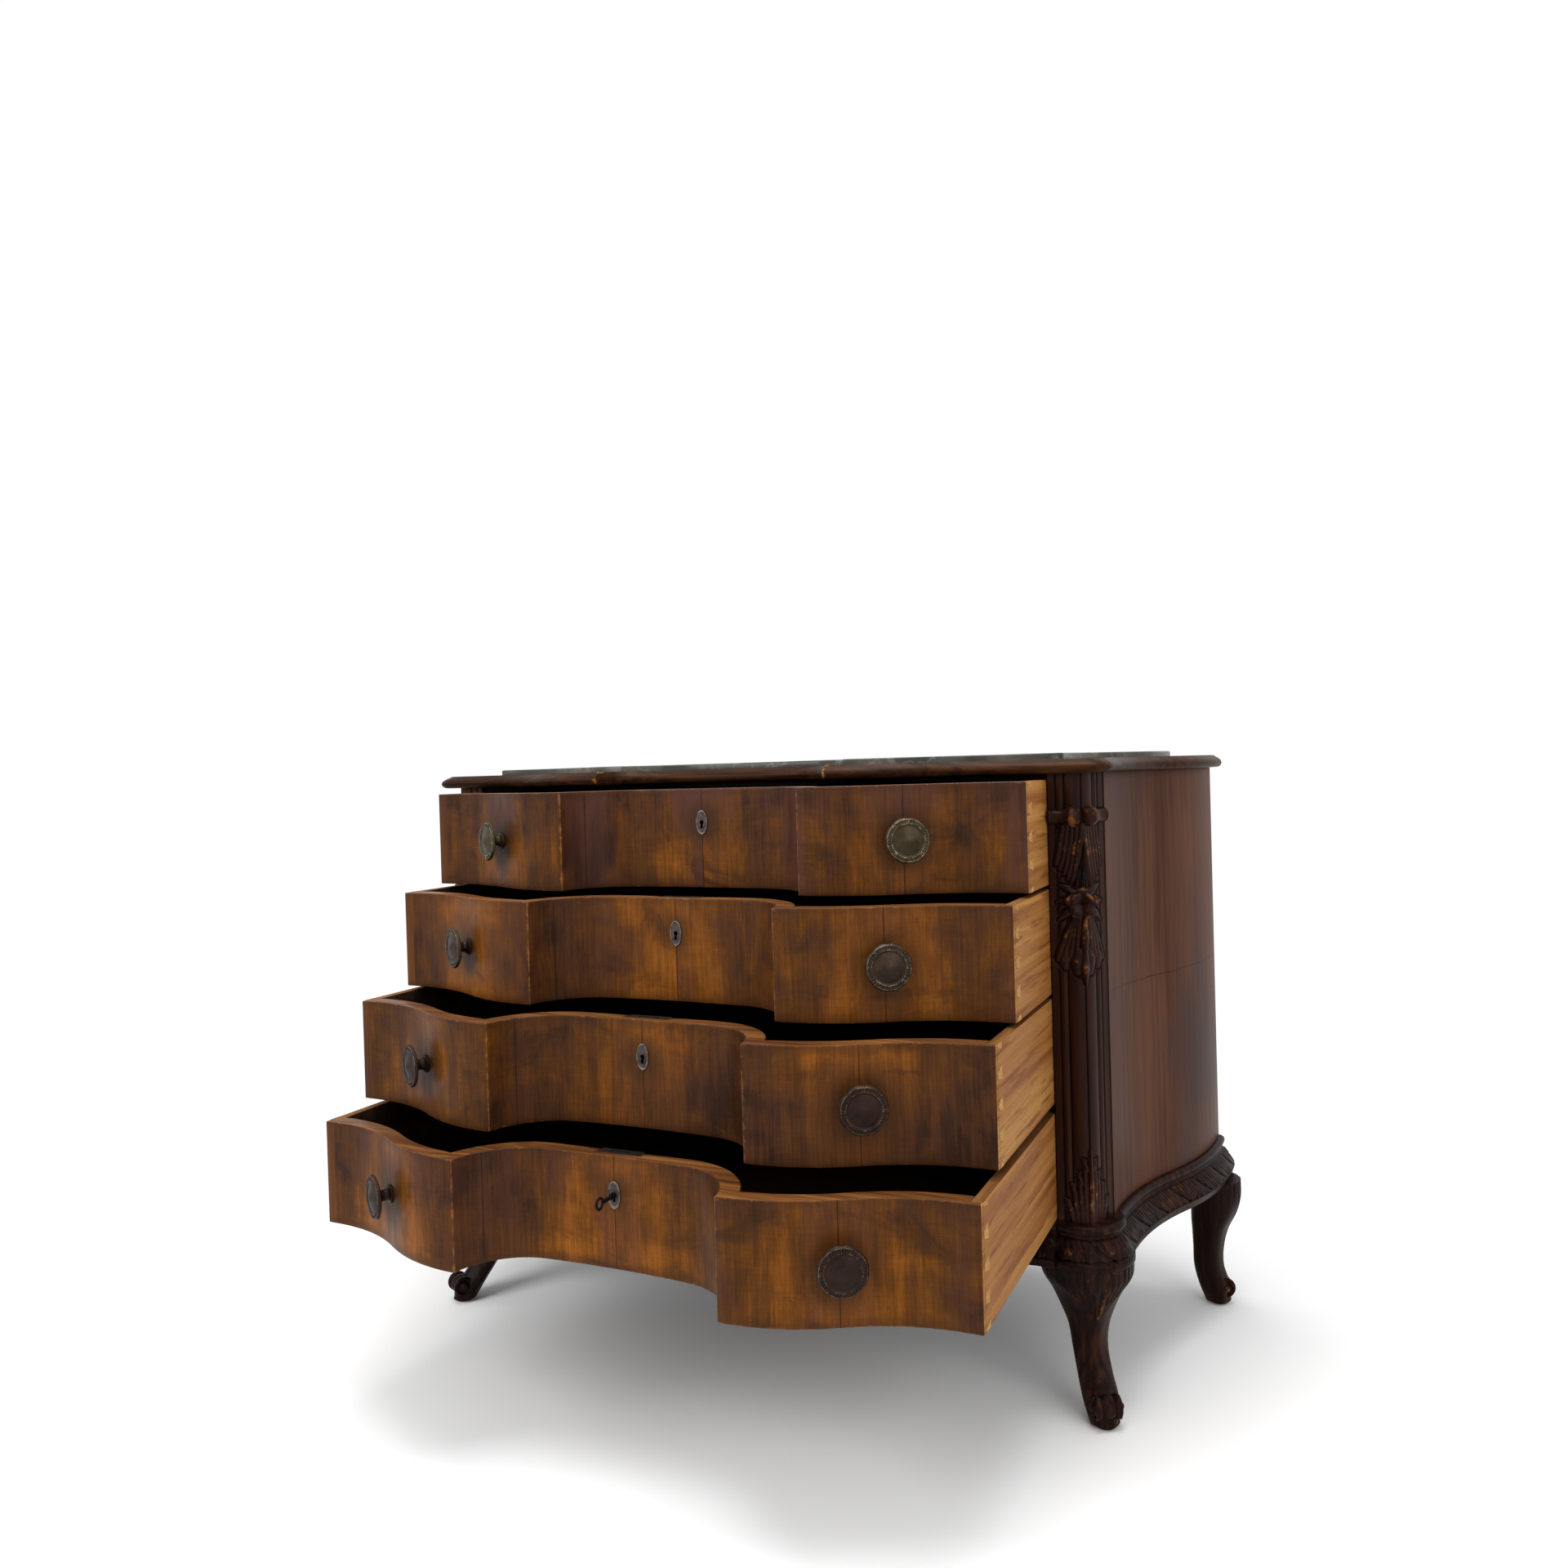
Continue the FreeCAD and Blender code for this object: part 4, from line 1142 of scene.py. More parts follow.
def post_marks():
    """The ribs of a post's carving by distance from the arris and height, in millimetres."""
    marks = []
    # Ribbons that part below the scroll, with stems in the hollow between them
    for k in range(5):
        path = ((2.5 + 6 * k, 774), (3.5 + 6.5 * k, 740), (17 + 5 * k, 697 + 6.5 * k))
        marks.append((path, (4.6, 5.2, 3.4), (4.6, 5.4 + 0.5 * (k == 0), 3.6)))
    marks.append((((1.5, 728), (2.5, 708), (3.5, 690)), (1.2, 1.8, 2.2), (1.6, 2.4, 3.2)))
    marks.append((((8, 710), (9.5, 702), (10, 690)), (1.4, 2.4, 2.6), (2.4, 3.2, 3.6)))
    # Small leaves beside the flower
    marks.append((((10, 682), (22, 693), (33, 695)), (5.0, 5.4, 2.0), (5.0, 4.8, 2.6)))
    marks.append((((12, 674), (25, 677), (38, 673)), (4.4, 4.8, 1.8), (4.8, 4.2, 2.2)))
    marks.append((((12, 666), (24, 661), (35, 649)), (4.8, 5.4, 2.0), (5.0, 4.8, 2.6)))
    # Husk below the flower
    marks.append((((0, 654), (0, 626), (0, 603)), (4.5, 8.0, 4.5), (5.4, 6.4, 4.6)))
    for k in range(1, 5):
        path = ((4 + 2 * k, 656), (6 + 5 * k, 630), (5 + 8 * k, 605 - 1.5 * k))
        marks.append((path, (3.4, 5.0, 4.4), (4.4, 5.2, 4.0)))
    marks.append((((10, 608), (14, 597), (12, 583)), (7.0, 9.0, 6.0), (4.4, 5.4, 3.6)))
    marks.append((((26, 608), (29, 600), (28, 589)), (6.5, 8.5, 5.0), (4.0, 5.0, 3.2)))
    marks.append((((0, 604), (0, 586), (0, 567)), (8.5, 9.0, 3.0), (4.8, 5.8, 3.4)))
    # Leaf that stands on the base
    marks.append((((0, 252), (0, 300), (0, 349)), (5.4, 5.0, 2.2), (5.4, 5.8, 4.2)))
    for k, (w, z) in enumerate(((8.5, 336), (16, 318), (24, 301), (32, 281)), 1):
        path = ((1.5 + 5.6 * k, 252), (2 + 6.4 * k, 262 + (z - 252) * 0.4), (w, z))
        marks.append((path, (4.2, 4.6, 3.0), (4.6, 5.2, 3.6)))
        marks.append((((w - 3, z - 12), (w, z - 4), (w + 3.5, z + 2)), (3.0, 3.4, 1.6), (4.4, 4.6, 2.6)))
    return marks


def post_relief(away, height):
    """How far a post's carving stands out, by the distance from the arris and the height."""
    flat, rise = np.abs(away) * 1000, height * 1000
    reeds = np.maximum(3.0 * hump(flat - 13.5, 10.5), 2.3 * hump(flat - 30, 5))
    reeds = np.maximum(reeds, 1.8 * smooth(36.0, 37.2, flat))
    marks = post_marks()
    carved = strokes(flat, rise, marks)
    cover = smooth(0.0, 1.6, strokes(flat, rise, marks, 2.2))
    inner = 17.0 * np.clip((752 - rise) / 55, 0, 1) ** 1.4
    hollow = smooth(752, 742, rise) * smooth(684, 692, rise) * smooth(inner + 1, inner - 1, flat)
    grain = 0.12 * np.sin(rise * 0.9 + flat * 0.35) * (carved > 1.5)
    return (np.maximum(reeds * (1 - cover), carved) - 2.0 * hollow + grain) / 1000


def post_face():
    """Plan points round the right post's carved faces, with their distances from the arris and normals."""
    start, edge = np.array([opening_half, 0.0]), np.array([opening_half + post_arris, 0.0])
    finish = np.array([post_outer, post_depth])
    front, flank = np.linalg.norm(edge - start), np.linalg.norm(finish - edge)
    away = np.concatenate([np.linspace(-front, 0, 54), np.linspace(0, flank, 58)[1:]])
    first, second = (edge - start) / front, (finish - edge) / flank
    points = np.where((away < 0)[:, None], edge + first * away[:, None], edge + second * away[:, None])
    normals = [np.array([way[1], -way[0]]) for way in (first, second)]
    share = smooth(-0.004, 0.004, away)[:, None]
    normal = normals[0] * (1 - share) + normals[1] * share
    return points, away, normal / np.linalg.norm(normal, axis=1)[:, None], (first, second, normals)


# Heights of a post's foot leaf, plain reeds, upper carving and head, with the rows of points in each
post_bands = [(base_top, 0.354, 112), (0.358, 0.558, 12), (0.561, 0.778, 232), (0.783, top_under, 14)]
carving_sink, carving_height, post_bevel = 0.003, 0.0062, 0.004


def build_posts():
    """Reeded corner posts with a scroll, ribbon leaves, a flower, a husk and a foot leaf."""
    points, away, normal, (front_way, flank_way, faces_out) = post_face()
    heights = np.concatenate([np.linspace(*band) for band in post_bands])
    flat_away, flat_height = np.meshgrid(away, heights)
    out = post_relief(flat_away, flat_height)
    grid = points[None] + normal[None] * (out[:, :, None] - carving_sink)
    back = np.array([(post_outer - post_bevel, post_depth), (opening_half, post_depth),
                     (opening_half, post_bevel)])
    rows = np.concatenate([grid, np.broadcast_to(back, (len(heights), 3, 2))], 1)
    columns = rows.shape[1]
    rise = np.broadcast_to(heights[:, None, None], (len(heights), columns, 1))
    solid = np.concatenate([rows + [0, front_line], rise], 2)
    relief = np.concatenate([np.clip(0.1 + out / carving_height, 0, 1), np.full((len(heights), 3), 0.5)], 1)
    stock = Stock().add(solid, tube_faces(len(heights), columns), relief=relief)
    edge = np.array([opening_half + post_arris, front_line])
    for way, outward in ((-front_way, faces_out[0]), (flank_way, faces_out[1])):
        add_scroll(stock, edge, way, outward)
    facing = 0.75 * faces_out[0] + 0.25 * faces_out[1]
    facing /= np.linalg.norm(facing)
    add_flower(stock, edge - front_way * 0.003 + facing * 0.0005, facing)
    fitted_pair(stock, "post_carved", [carved_walnut], 50, "carved_walnut", "post")


scroll_height, scroll_length, scroll_radius = 0.786, 0.043, 0.0142
scroll_shares = [(0.0, 0.0), (0.0, 0.28), (0.015, 0.5), (0.055, 0.74), (0.12, 0.91), (0.19, 0.985),
                 (0.25, 1.0), (0.31, 0.97), (0.37, 0.89), (0.43, 0.79), (0.50, 0.69), (0.58, 0.64),
                 (0.68, 0.64), (0.79, 0.67), (0.86, 0.70), (0.875, 0.65), (0.89, 0.70), (0.93, 0.74),
                 (0.97, 0.72), (1.0, 0.62), (1.0, 0.3), (0.985, 0.26), (0.985, 0.0)]


def add_scroll(stock, edge, way, outward):
    """Half of the scroll along one face: a ball beside the arris, a neck and a bar with a ringed end."""
    profile = [(size * scroll_radius, along * scroll_length) for along, size in scroll_shares]
    count = 32
    points, faces = turned(profile, count)
    seat = np.append(edge + outward * 0.001 + way * 0.0012, scroll_height)
    ball = np.array([smooth(0.6, 1.0, size) * (along < 0.5) for along, size in scroll_shares])
    relief = np.repeat(0.42 + 0.58 * ball, count)
    points = placed(points, seat, np.append(outward, 0), (0, 0, 1), np.append(way, 0))
    stock.add(points, faces, relief=relief)


petal_thickness, flower_height = 0.0014, 0.672


def petal(length, width, cup, curl, lift):
    """One petal lying along x, ridged across and curled down at its tip, as a closed thin shell."""
    rows, columns = 9, 9
    along, across = np.meshgrid(np.linspace(0, 1, rows), np.linspace(-1, 1, columns), indexing="ij")
    outline = hump(2 * along - 1, 1) * 0.55 + 0.45 * np.sin(along * math.pi * 0.85)
    x = along * length
    y = across * outline * width
    z = lift * along + cup * across ** 2 * along + curl * along ** 3
    upper = np.stack([x, y, z], 2).reshape(-1, 3)
    lower = upper - [0, 0, petal_thickness]
    count = rows * columns
    sheet = grid_faces(rows, columns)
    border = [(r, 0) for r in range(rows)] + [(rows - 1, c) for c in range(1, columns)]
    border += [(r, columns - 1) for r in range(rows - 2, -1, -1)]
    border += [(0, c) for c in range(columns - 2, 0, -1)]
    ring = [r * columns + c for r, c in border]
    walls = [(here, on, on + count, here + count) for here, on in zip(ring, ring[1:] + ring[:1])]
    faces = sheet + [tuple(corner + count for corner in face)[::-1] for face in sheet] + walls
    relief = np.tile(np.clip(0.3 + 0.8 * along.ravel(), 0, 1), 2)
    return np.concatenate([upper, lower]), faces, relief


def add_flower(stock, place, outward):
    """The open flower on the arris: two rings of ridged petals with worn tips."""
    across = np.array([-outward[1], outward[0], 0])
    seat = np.array([place[0], place[1], flower_height])
    rings = [(5, 0.0215, 0.0092, -0.0030, -0.0022, 0.0075, 0.25),
             (4, 0.0160, 0.0088, -0.0034, -0.0030, 0.0125, 0.5)]
    for count, length, width, cup, curl, lift, phase in rings:
        points, faces, relief = petal(length, width, cup, curl, lift)
        for turn in (np.arange(count) + phase) * TAU / count:
            ahead = (math.cos(turn), math.sin(turn), 0)
            spun = placed(points, (0, 0, 0), ahead, (-math.sin(turn), math.cos(turn), 0), (0, 0, 1))
            spun = placed(spun, seat, across, (0, 0, 1), np.append(outward, 0))
            stock.add(spun, faces, relief=relief)


# Base


def frieze_marks():
    """The cuts of one leaf of the base's frieze, by the place along it and its height, in millimetres."""
    cuts = [(((-2, 27), (6, 15), (27, 2)), (1.3, 2.0, 1.4), (1.8, 2.8, 2.0)),
            (((27, 2), (36, -1), (44, 5)), (1.4, 1.5, 0.8), (2.0, 1.8, 0.8))]
    for k in range(7):
        x = 7 + 7.6 * k
        deep = (16, 7, 13, 5, 12, 8, 15)[k]
        cuts.append((((x - 1.5, 26), (x + 1, 20), (x + 4.5, deep)), (0.9, 1.15, 0.5), (1.2, 1.7, 0.6)))
    for k in range(4):
        x = 36 + 6.5 * k
        cuts.append((((x + 3, 1), (x + 1.5, 5), (x + 1, 11)), (1.1, 1.0, 0.5), (1.6, 1.3, 0.4)))
    return cuts


# Leaf length and frieze height in millimetres, and the carving's height
frieze_pitch, frieze_rise, frieze_height = 64.0, 27.0, 0.0040


def frieze_relief(along, share):
    """The frieze's row of slanting cut leaves, by the place along it and the share of its height."""
    place = (along * 1000) % frieze_pitch
    rise = frieze_rise * share
    cut = np.zeros(place.shape)
    for shift in (-frieze_pitch, 0, frieze_pitch):
        cut = np.maximum(cut, strokes(place - shift, rise, frieze_marks()))
    lobe = 1.2 + 2.0 * np.abs(np.sin(place / frieze_pitch * math.pi * 4))
    body = smooth(lobe - 1.0, lobe + 1.0, rise) * smooth(frieze_rise, 25.6, rise)
    swell = 2.6 + 0.8 * np.sin(np.clip(share, 0, 1) * math.pi)
    return (body * swell - cut * smooth(0.3, 2.0, rise)) / 1000


def carved_profile(foot, low, high, upper):
    """Heights and reaches up a moulding with a frieze from low to high, and the frieze's share at each."""
    rows = [(z, reach, None) for z, reach in foot]
    for share in np.linspace(0.03, 0.97, 26):
        rows.append((low[0] + (high[0] - low[0]) * share, low[1] + (high[1] - low[1]) * share, share))
    return rows + [(z, reach, None) for z, reach in upper]


def frieze_carving(along, share):
    """The frieze's carving at one share of its height, and how high each place stands for the wear."""
    out = frieze_relief(along, np.full(len(along), share))
    return out, np.clip(0.02 + out / frieze_height, 0, 1)


# Heights and reaches of the base's moulding: foot, frieze and bead
base_foot = [(0.197, 0.0), (0.197, 0.019), (0.1985, 0.0205), (0.205, 0.0215), (0.2075, 0.0235),
             (0.2085, 0.0225)]
frieze_low, frieze_high = (0.2085, 0.0225), (0.2350, 0.0060)
base_upper = [(0.2350, 0.0060), (0.2365, 0.0042), (0.2395, 0.0036), (0.2402, 0.0055), (0.2420, 0.0075),
              (0.2450, 0.0088), (0.2475, 0.0088), (0.2500, 0.0076), (0.2518, 0.0056), (0.2529, 0.0030),
              (0.2530, 0.0)]
bead_low = 0.240


def moulded(stock, run, push, carve_way, inner):
    """A length of base moulding along a run of plan points, each moved out by push times the reach."""
    along = lengths(run)
    rows, relief = [], []
    for z, reach, share in carved_profile(base_foot, frieze_low, frieze_high, base_upper):
        out, lift = np.zeros(len(run)), np.full(len(run), 0.55 if z > bead_low else 0.42)
        if share is not None:
            out, lift = frieze_carving(along, share)
        plan = run + push * reach + carve_way * out[:, None]
        rows.append(at_height(plan, z))
        relief.append(lift)
    for z in (rows[-1][0, 2], rows[0][0, 2]):
        rows.append(at_height(inner, z))
        relief.append(np.full(len(run), 0.4))
    count, columns = len(rows), len(run)
    points = np.concatenate(rows)
    faces = grid_faces(count, columns, close_rows=True)
    first = range(0, count * columns, columns)
    faces += [tuple(first), tuple(corner + columns - 1 for corner in first)[::-1]]
    return stock.add(points, faces, relief=np.concatenate(relief))


def resampled(run, step):
    """A run of plan points at even steps."""
    along = lengths(run)
    even = np.linspace(0, along[-1], max(2, int(along[-1] / step)))
    return np.stack([np.interp(even, along, run[:, axis]) for axis in (0, 1)], 1)


base_depth = 0.030


def build_base():
    """The base mouldings: two flared sides and the serpentine front."""
    run = resampled(flare_line(40), 0.0011) + [0, front_line]
    right = np.array([1.0, 0.0])
    normal = -plan_normals(run, False)
    side = moulded(Stock(), run, right, normal, run - right * base_depth)
    fitted_pair(side, "base_side", [dark_walnut], 45, "carved_walnut", "base")
    line = chain(mirrored(front_half()), [(wing_end, 0), (drawer_half, 0)])
    line = np.concatenate([[(-drawer_half, 0)], line])
    run = resampled(line, 0.0016) + [0, front_line]
    forward = np.array([0.0, -1.0])
    normal = -plan_normals(run, False)
    inner = np.column_stack([run[:, 0], np.full(len(run), front_line + base_depth)])
    made = moulded(Stock(), run, forward, normal, inner)
    fitted(made.piece("base_serpentine", [dark_walnut], 45), "case", "carved_walnut", "base_front")


# Legs


def leg_curve(low, high, table):
    """A leg's path and girth at even heights, eased through a table of (rise, out, girth)."""
    rises, outs, girths = (np.array(column, float)[::-1] for column in zip(*table))
    even = np.linspace(low, high, 150)
    return even, eased(even, rises, outs), eased(even, rises, girths)


def eased(places, knots, values):
    """A smooth line through knots, without overshoot."""
    slopes = np.gradient(values, knots)
    index = np.clip(np.searchsorted(knots, places) - 1, 0, len(knots) - 2)
    width = knots[index + 1] - knots[index]
    t = (places - knots[index]) / width
    return ((1 + 2 * t) * (1 - t) ** 2 * values[index] + t * (1 - t) ** 2 * width * slopes[index]
            + t * t * (3 - 2 * t) * values[index + 1] + t * t * (t - 1) * width * slopes[index + 1])


def knee_marks():
    """The cuts of a knee's leaf, by the distance round from the toe and the height, in millimetres."""
    cuts = [(((0.5, 198), (1.5, 168), (0, 132)), (1.3, 1.7, 0.8), (1.8, 2.4, 1.0))]
    for k in range(1, 6):
        path = ((2 + 7.4 * k, 198), (5 + 7.6 * k, 165 + 2 * k), (1 + 3.6 * k, 124 + 5 * k))
        cuts.append((path, (1.0, 1.25, 0.6), (1.2, 1.7, 0.7)))
    for k in range(4):
        path = ((50 + 6 * k, 198), (52 + 6 * k, 180), (54 + 6 * k, 160 + 5 * k))
        cuts.append((path, (0.9, 1.1, 0.5), (1.0, 1.4, 0.5)))
    return cuts


def knee_relief(around, rise):
    """Leaves cut on a knee: ribs that hang from the ring and run together in a point towards the toe."""
    flat = np.abs(around)
    cut = strokes(flat, rise, knee_marks())
    edge = 112 + 0.95 * flat + 3.0 * np.abs(np.sin(flat / 9.0))
    body = smooth(edge - 4, edge + 24, rise) * smooth(80, 66, flat)
    return (1.5 * body - cut * body) / 1000


def add_stem(stock, table, centre, toe):
    """A leg's stem with a ridge towards the toe and leaves on its knee."""
    rises, outs, girths = leg_curve(0.02, 1.0, table)
    count = 160
    turns = np.arange(count) * TAU / count
    turns = (turns + math.pi) % TAU - math.pi
    shape = 3.0
    diagonal = turns - math.pi / 4
    square = (np.abs(np.cos(diagonal)) ** shape + np.abs(np.sin(diagonal)) ** shape) ** (-1 / shape)
    square /= square.max()
    way = np.array([math.cos(toe), math.sin(toe)])
    across = np.array([-way[1], way[0]])
    carves = knee_relief(*np.meshgrid(turns * 45.0, rises * leg_height * 1000))
    rows, relief = [], []
    for rise, out, girth, carve in zip(rises, outs, girths, carves):
        mix = smooth(0.95, 0.6, rise)
        radius = girth * ((1 - mix) + mix * square * 1.12) + carve
        plan = centre + way * out + np.outer(radius * np.cos(turns), way)
        plan = plan + np.outer(radius * np.sin(turns), across)
        rows.append(at_height(plan, rise * leg_height))
        ridge = np.exp(-(turns / 0.12) ** 2) * mix
        rubbed = 600 * np.maximum(carve - 0.0009, 0.0)
        soiled = 400 * np.minimum(carve - 0.0002, 0.0) * (np.abs(carve) > 1e-6)
        relief.append(np.clip(0.5 + 0.3 * ridge + rubbed + soiled, 0, 1))
    stock.add(np.concatenate(rows), tube_faces(len(rows), count), relief=np.concatenate(relief))


toe_radius, toe_width, toe_height, volute_depth = 0.0155, 0.035, 0.027, 0.0022


def add_toe(stock, centre, toe, reach):
    """The scrolled toe on a small pad: two volutes that wind in to bosses, with a worn ridge between."""
    rings = [(0.0, 0.64), (0.16, 0.635), (0.28, 0.60), (0.34, 0.545), (0.36, 0.50), (0.45, 0.475),
             (0.58, 0.48), (0.72, 0.485), (0.84, 0.49), (0.93, 0.48), (0.985, 0.455), (1.0, 0.42),
             (0.99, 0.36), (0.88, 0.29), (0.79, 0.24), (0.82, 0.18), (0.91, 0.11), (0.95, 0.03)]
    profile = [(size * toe_radius, along * toe_width) for size, along in rings]
    profile += [(radius, -along) for radius, along in profile[::-1]]
    count = 64
    points, faces = turned(profile, count)
    share = np.hypot(points[:, 0], points[:, 1]) / toe_radius
    wind = np.arctan2(points[:, 1], points[:, 0]) / TAU
    ends = np.abs(points[:, 2]) > 0.45 * toe_width
    hand = np.sign(points[:, 2])
    groove = hump(((share * 2.4 - wind * hand) % 1) - 0.5, 0.24) * (share > 0.38) * (share < 0.95) * ends
    points[:, 2] -= hand * groove * volute_depth
    way = np.array([math.cos(toe), math.sin(toe), 0])
    across = np.array([-way[1], way[0], 0])
    seat = np.append(centre, toe_height) + way * (reach + toe_lead)
    ridge = smooth(0.2, 0.08, np.abs(points[:, 2]) / toe_width)
    relief = 0.45 + 0.5 * (share < 0.3) * ends + 0.45 * ridge + 0.2 * (share > 0.96)
    relief = np.clip(relief - 0.42 * groove, 0, 1.0)
    relief -= 0.35 * hump(np.abs(points[:, 2]) / toe_width - 0.24, 0.06)
    stock.add(placed(points, seat, way, (0, 0, 1), across), faces, relief=relief)
    pad = [(0.0, 0.0), (0.0120, 0.0), (0.0145, 0.0025), (0.0158, 0.007), (0.0160, 0.012), (0.0150, 0.017),
           (0.0, 0.020)]
    pad_points, pad_faces = turned(pad, 36)
    stock.add(pad_points + np.append(centre + way[:2] * reach, 0), pad_faces)


leg_height = 0.197
toe_lead, leg_inset = 0.006, 0.039
front_leg = {"centre": (post_outer - 0.038, leg_inset), "toe": -math.radians(60), "reach": 0.060}
back_leg = {"centre": (panel_high.x - 0.003, case_depth - leg_inset), "toe": math.radians(25),
            "reach": 0.001}
front_leg_table = [(1.0, 0.0, 0.061), (0.91, 0.0012, 0.059), (0.8, 0.0042, 0.045), (0.69, 0.0048, 0.0340),
                   (0.58, 0.0054, 0.0258), (0.4, 0.009, 0.0211), (0.27, 0.024, 0.0208),
                   (0.14, 0.045, 0.0212), (0.02, 0.058, 0.0175)]
back_leg_table = [(1.0, 0.0, 0.0362), (0.88, 0.0, 0.0358), (0.72, -0.0046, 0.0312), (0.6, -0.0098, 0.0251),
                  (0.46, -0.013, 0.0213), (0.3, -0.013, 0.0205), (0.15, -0.0052, 0.0212),
                  (0.02, 0.0005, 0.0175)]

# Heights and radii of the drum over a front leg: ring, frieze and bead
ring_rows = [(0.197, 0.0), (0.197, 0.0625), (0.1985, 0.0640), (0.2055, 0.0640), (0.207, 0.0625),
             (0.2085, 0.0605)]
drum_frieze_low, drum_frieze_high = (0.2085, 0.0605), (0.2350, 0.0490)
drum_rows = [(0.2360, 0.0480), (0.2395, 0.0480), (0.2402, 0.0500), (0.2420, 0.0520), (0.2450, 0.0532),
             (0.2475, 0.0532), (0.2500, 0.0520), (0.2518, 0.0500), (0.2530, 0.0470), (0.2530, 0.0)]
drum_leaves = 5


def add_drum(stock, centre):
    """The round drum between a front leg and its post: ring, carved frieze, cove and bead."""
    count = 300
    turns = np.arange(count) * TAU / count
    along = turns / TAU * drum_leaves * frieze_pitch / 1000
    rows, relief = [], []
    for z, radius, share in carved_profile(ring_rows, drum_frieze_low, drum_frieze_high, drum_rows):
        out, lift = np.zeros(count), np.full(count, 0.5)
        if share is not None:
            out, lift = frieze_carving(along, share)
        plan = centre + (radius + out)[:, None] * around(turns)
        rows.append(at_height(plan, z))
        relief.append(lift)
    faces = grid_faces(len(rows), count, close_columns=True)
    stock.add(np.concatenate(rows), faces, relief=np.concatenate(relief))


def build_legs():
    """Cabriole legs: a stem with a carved knee, a scrolled toe and, in front, a drum."""
    for name, leg, table in (("front", front_leg, front_leg_table), ("back", back_leg, back_leg_table)):
        centre = np.array(leg["centre"]) + [0, front_line]
        stock = Stock()
        add_stem(stock, table, centre, leg["toe"])
        add_toe(stock, centre, leg["toe"], leg["reach"])
        if name == "front":
            add_drum(stock, centre)
        fitted_pair(stock, f"leg_{name}_carved", [dark_walnut], 50, "carved_walnut", f"leg_{name}")


# Stage

floor_reach, pool_shape, pool_fade = 14.0, (0.72, 1.0, 1.0), (0.55, 0.95)
lamps = [("key", (-1.7, -2.5, 2.2), 1.8, 64), ("fill", (2.6, -1.6, 1.8), 2.0, 26),
         ("above", (0.1, -0.1, 3.0), 1.8, 80)]
lamp_aim = Vector((0, 0, 0.45))


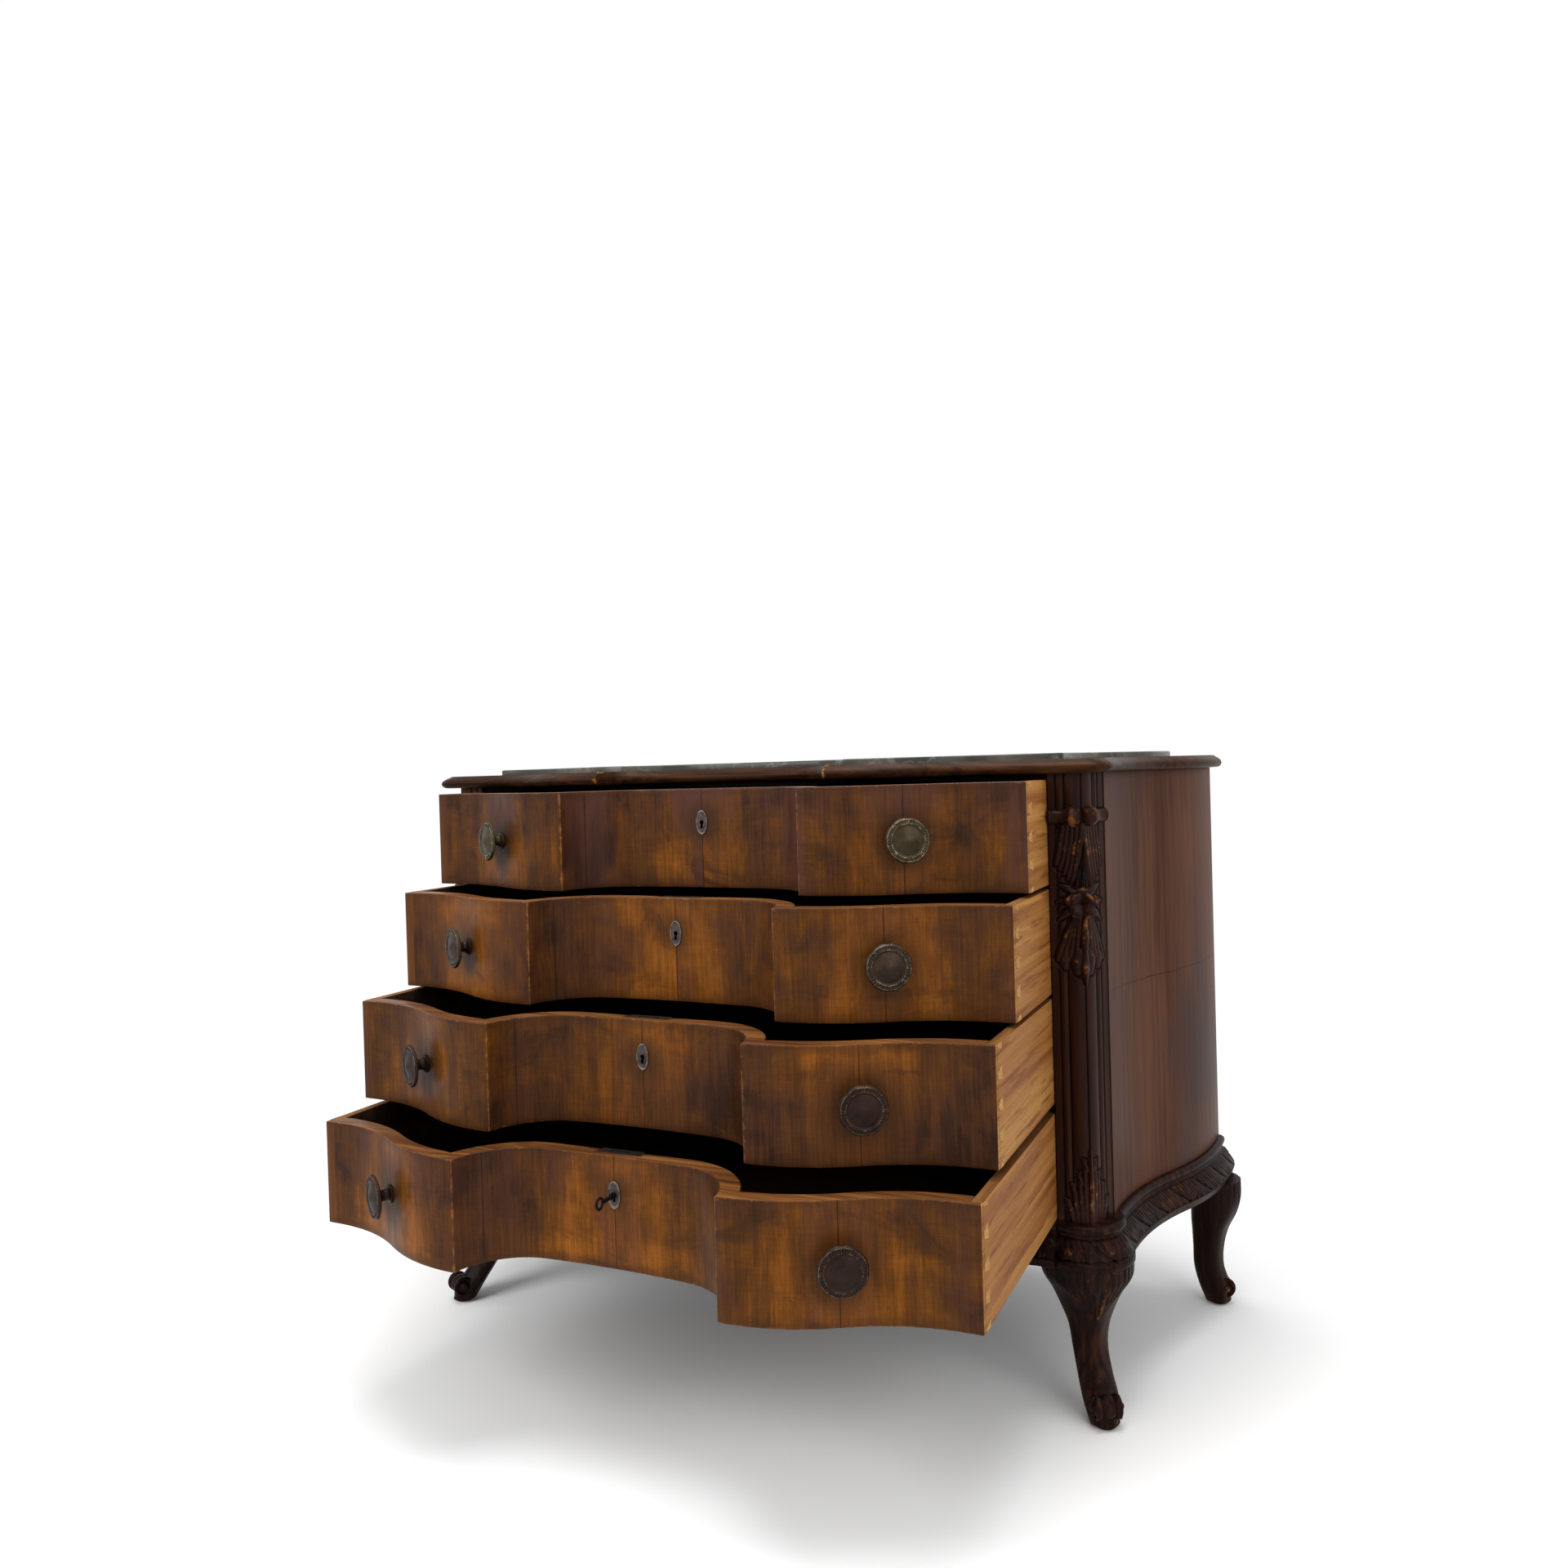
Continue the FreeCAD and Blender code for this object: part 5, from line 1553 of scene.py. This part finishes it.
def build_stage():
    """A plain pale floor that fades into a white surround, and soft lamps."""
    floor = linked("floor", bpy.data.meshes.new("floor"))
    corners = [(floor_reach * x, floor_reach * y, 0) for x, y in ((-1, -1), (1, -1), (1, 1), (-1, 1))]
    floor.data.from_pydata(corners, [], [(0, 1, 2, 3)])
    material = bpy.data.materials.new("pale_floor")
    material.use_nodes = True
    tree = material.node_tree
    tree.nodes.clear()
    out = tree.nodes.new("ShaderNodeOutputMaterial")
    spot = wire(tree, "ShaderNodeTexCoord").outputs["Object"]
    shaped = wire(tree, "ShaderNodeVectorMath", {0: spot, 1: pool_shape}, operation="MULTIPLY").outputs[0]
    away = wire(tree, "ShaderNodeVectorMath", {0: shaped}, operation="LENGTH").outputs["Value"]
    far = Field(tree, away).span(*pool_fade)
    pale = wire(tree, "ShaderNodeBsdfDiffuse", {"Color": (0.93, 0.93, 0.93, 1)}).outputs[0]
    white = wire(tree, "ShaderNodeEmission", {"Color": (1, 1, 1, 1), "Strength": 1.0}).outputs[0]
    mixed = wire(tree, "ShaderNodeMixShader", {0: far, 1: pale, 2: white}).outputs[0]
    tree.links.new(mixed, out.inputs["Surface"])
    floor.data.materials.append(material)
    world = bpy.data.worlds.new("surround")
    bpy.context.scene.world = world
    world.use_nodes = True
    tree = world.node_tree
    tree.nodes.clear()
    out = tree.nodes.new("ShaderNodeOutputWorld")
    path = wire(tree, "ShaderNodeLightPath").outputs
    shown = Field(tree, path["Is Camera Ray"]).maths("MAXIMUM", path["Is Transmission Ray"])
    shown = shown.maths("MAXIMUM", path["Is Glossy Ray"])
    lit = wire(tree, "ShaderNodeBackground", {"Color": (1, 1, 1, 1), "Strength": 0.62}).outputs[0]
    white = wire(tree, "ShaderNodeBackground", {"Color": (1, 1, 1, 1), "Strength": 1.0}).outputs[0]
    mixed = wire(tree, "ShaderNodeMixShader", {0: shown, 1: lit, 2: white}).outputs[0]
    tree.links.new(mixed, out.inputs["Surface"])
    for name, place, size, power in lamps:
        lamp = bpy.data.lights.new(name, "AREA")
        lamp.size, lamp.energy = size, power
        holder = linked(name, lamp)
        holder.location = place
        holder.rotation_euler = (lamp_aim - Vector(place)).to_track_quat("-Z", "Y").to_euler()


eye = (0.8143, -1.59665, 0.8566)
eye_yaw, eye_pitch, eye_roll = 0.4331, -0.01157, -0.02859
focal_pixels, frame_pixels, sensor = 1480.36, 1920, 36.0


def build_camera():
    """The photograph's viewpoint."""
    forward = math.cos(eye_pitch)
    ahead = Vector((-math.sin(eye_yaw) * forward, math.cos(eye_yaw) * forward, math.sin(eye_pitch)))
    level = Vector((math.cos(eye_yaw), math.sin(eye_yaw), 0))
    right = level * math.cos(eye_roll) + level.cross(ahead) * math.sin(eye_roll)
    upward = right.cross(ahead)
    lens = bpy.data.cameras.new("camera")
    lens.sensor_width, lens.lens = sensor, focal_pixels / frame_pixels * sensor
    camera = linked("camera", lens)
    axes = Matrix((right, upward, -ahead)).transposed().to_4x4()
    camera.matrix_world = Matrix.Translation(eye) @ axes
    bpy.context.scene.camera = camera


for number in (1, 2, 3, 4):
    build_drawer(number)
build_top()
build_panels()
build_posts()
build_base()
build_legs()
# The case's inside boards take the very dark pine as painted shade
for node in ("dust_board_upper", "dust_board_middle", "dust_board_lower", "upper_deck", "bottom_board",
             "inner_side_left", "inner_side_right"):
    dress(node, painted_shade_pine)
for node in ("back_panel", "rear_post_left", "rear_post_right"):
    dress(node, back_pine)
dress("key", iron)
build_stage()
build_camera()
bpy.context.scene.view_settings.view_transform = "Standard"
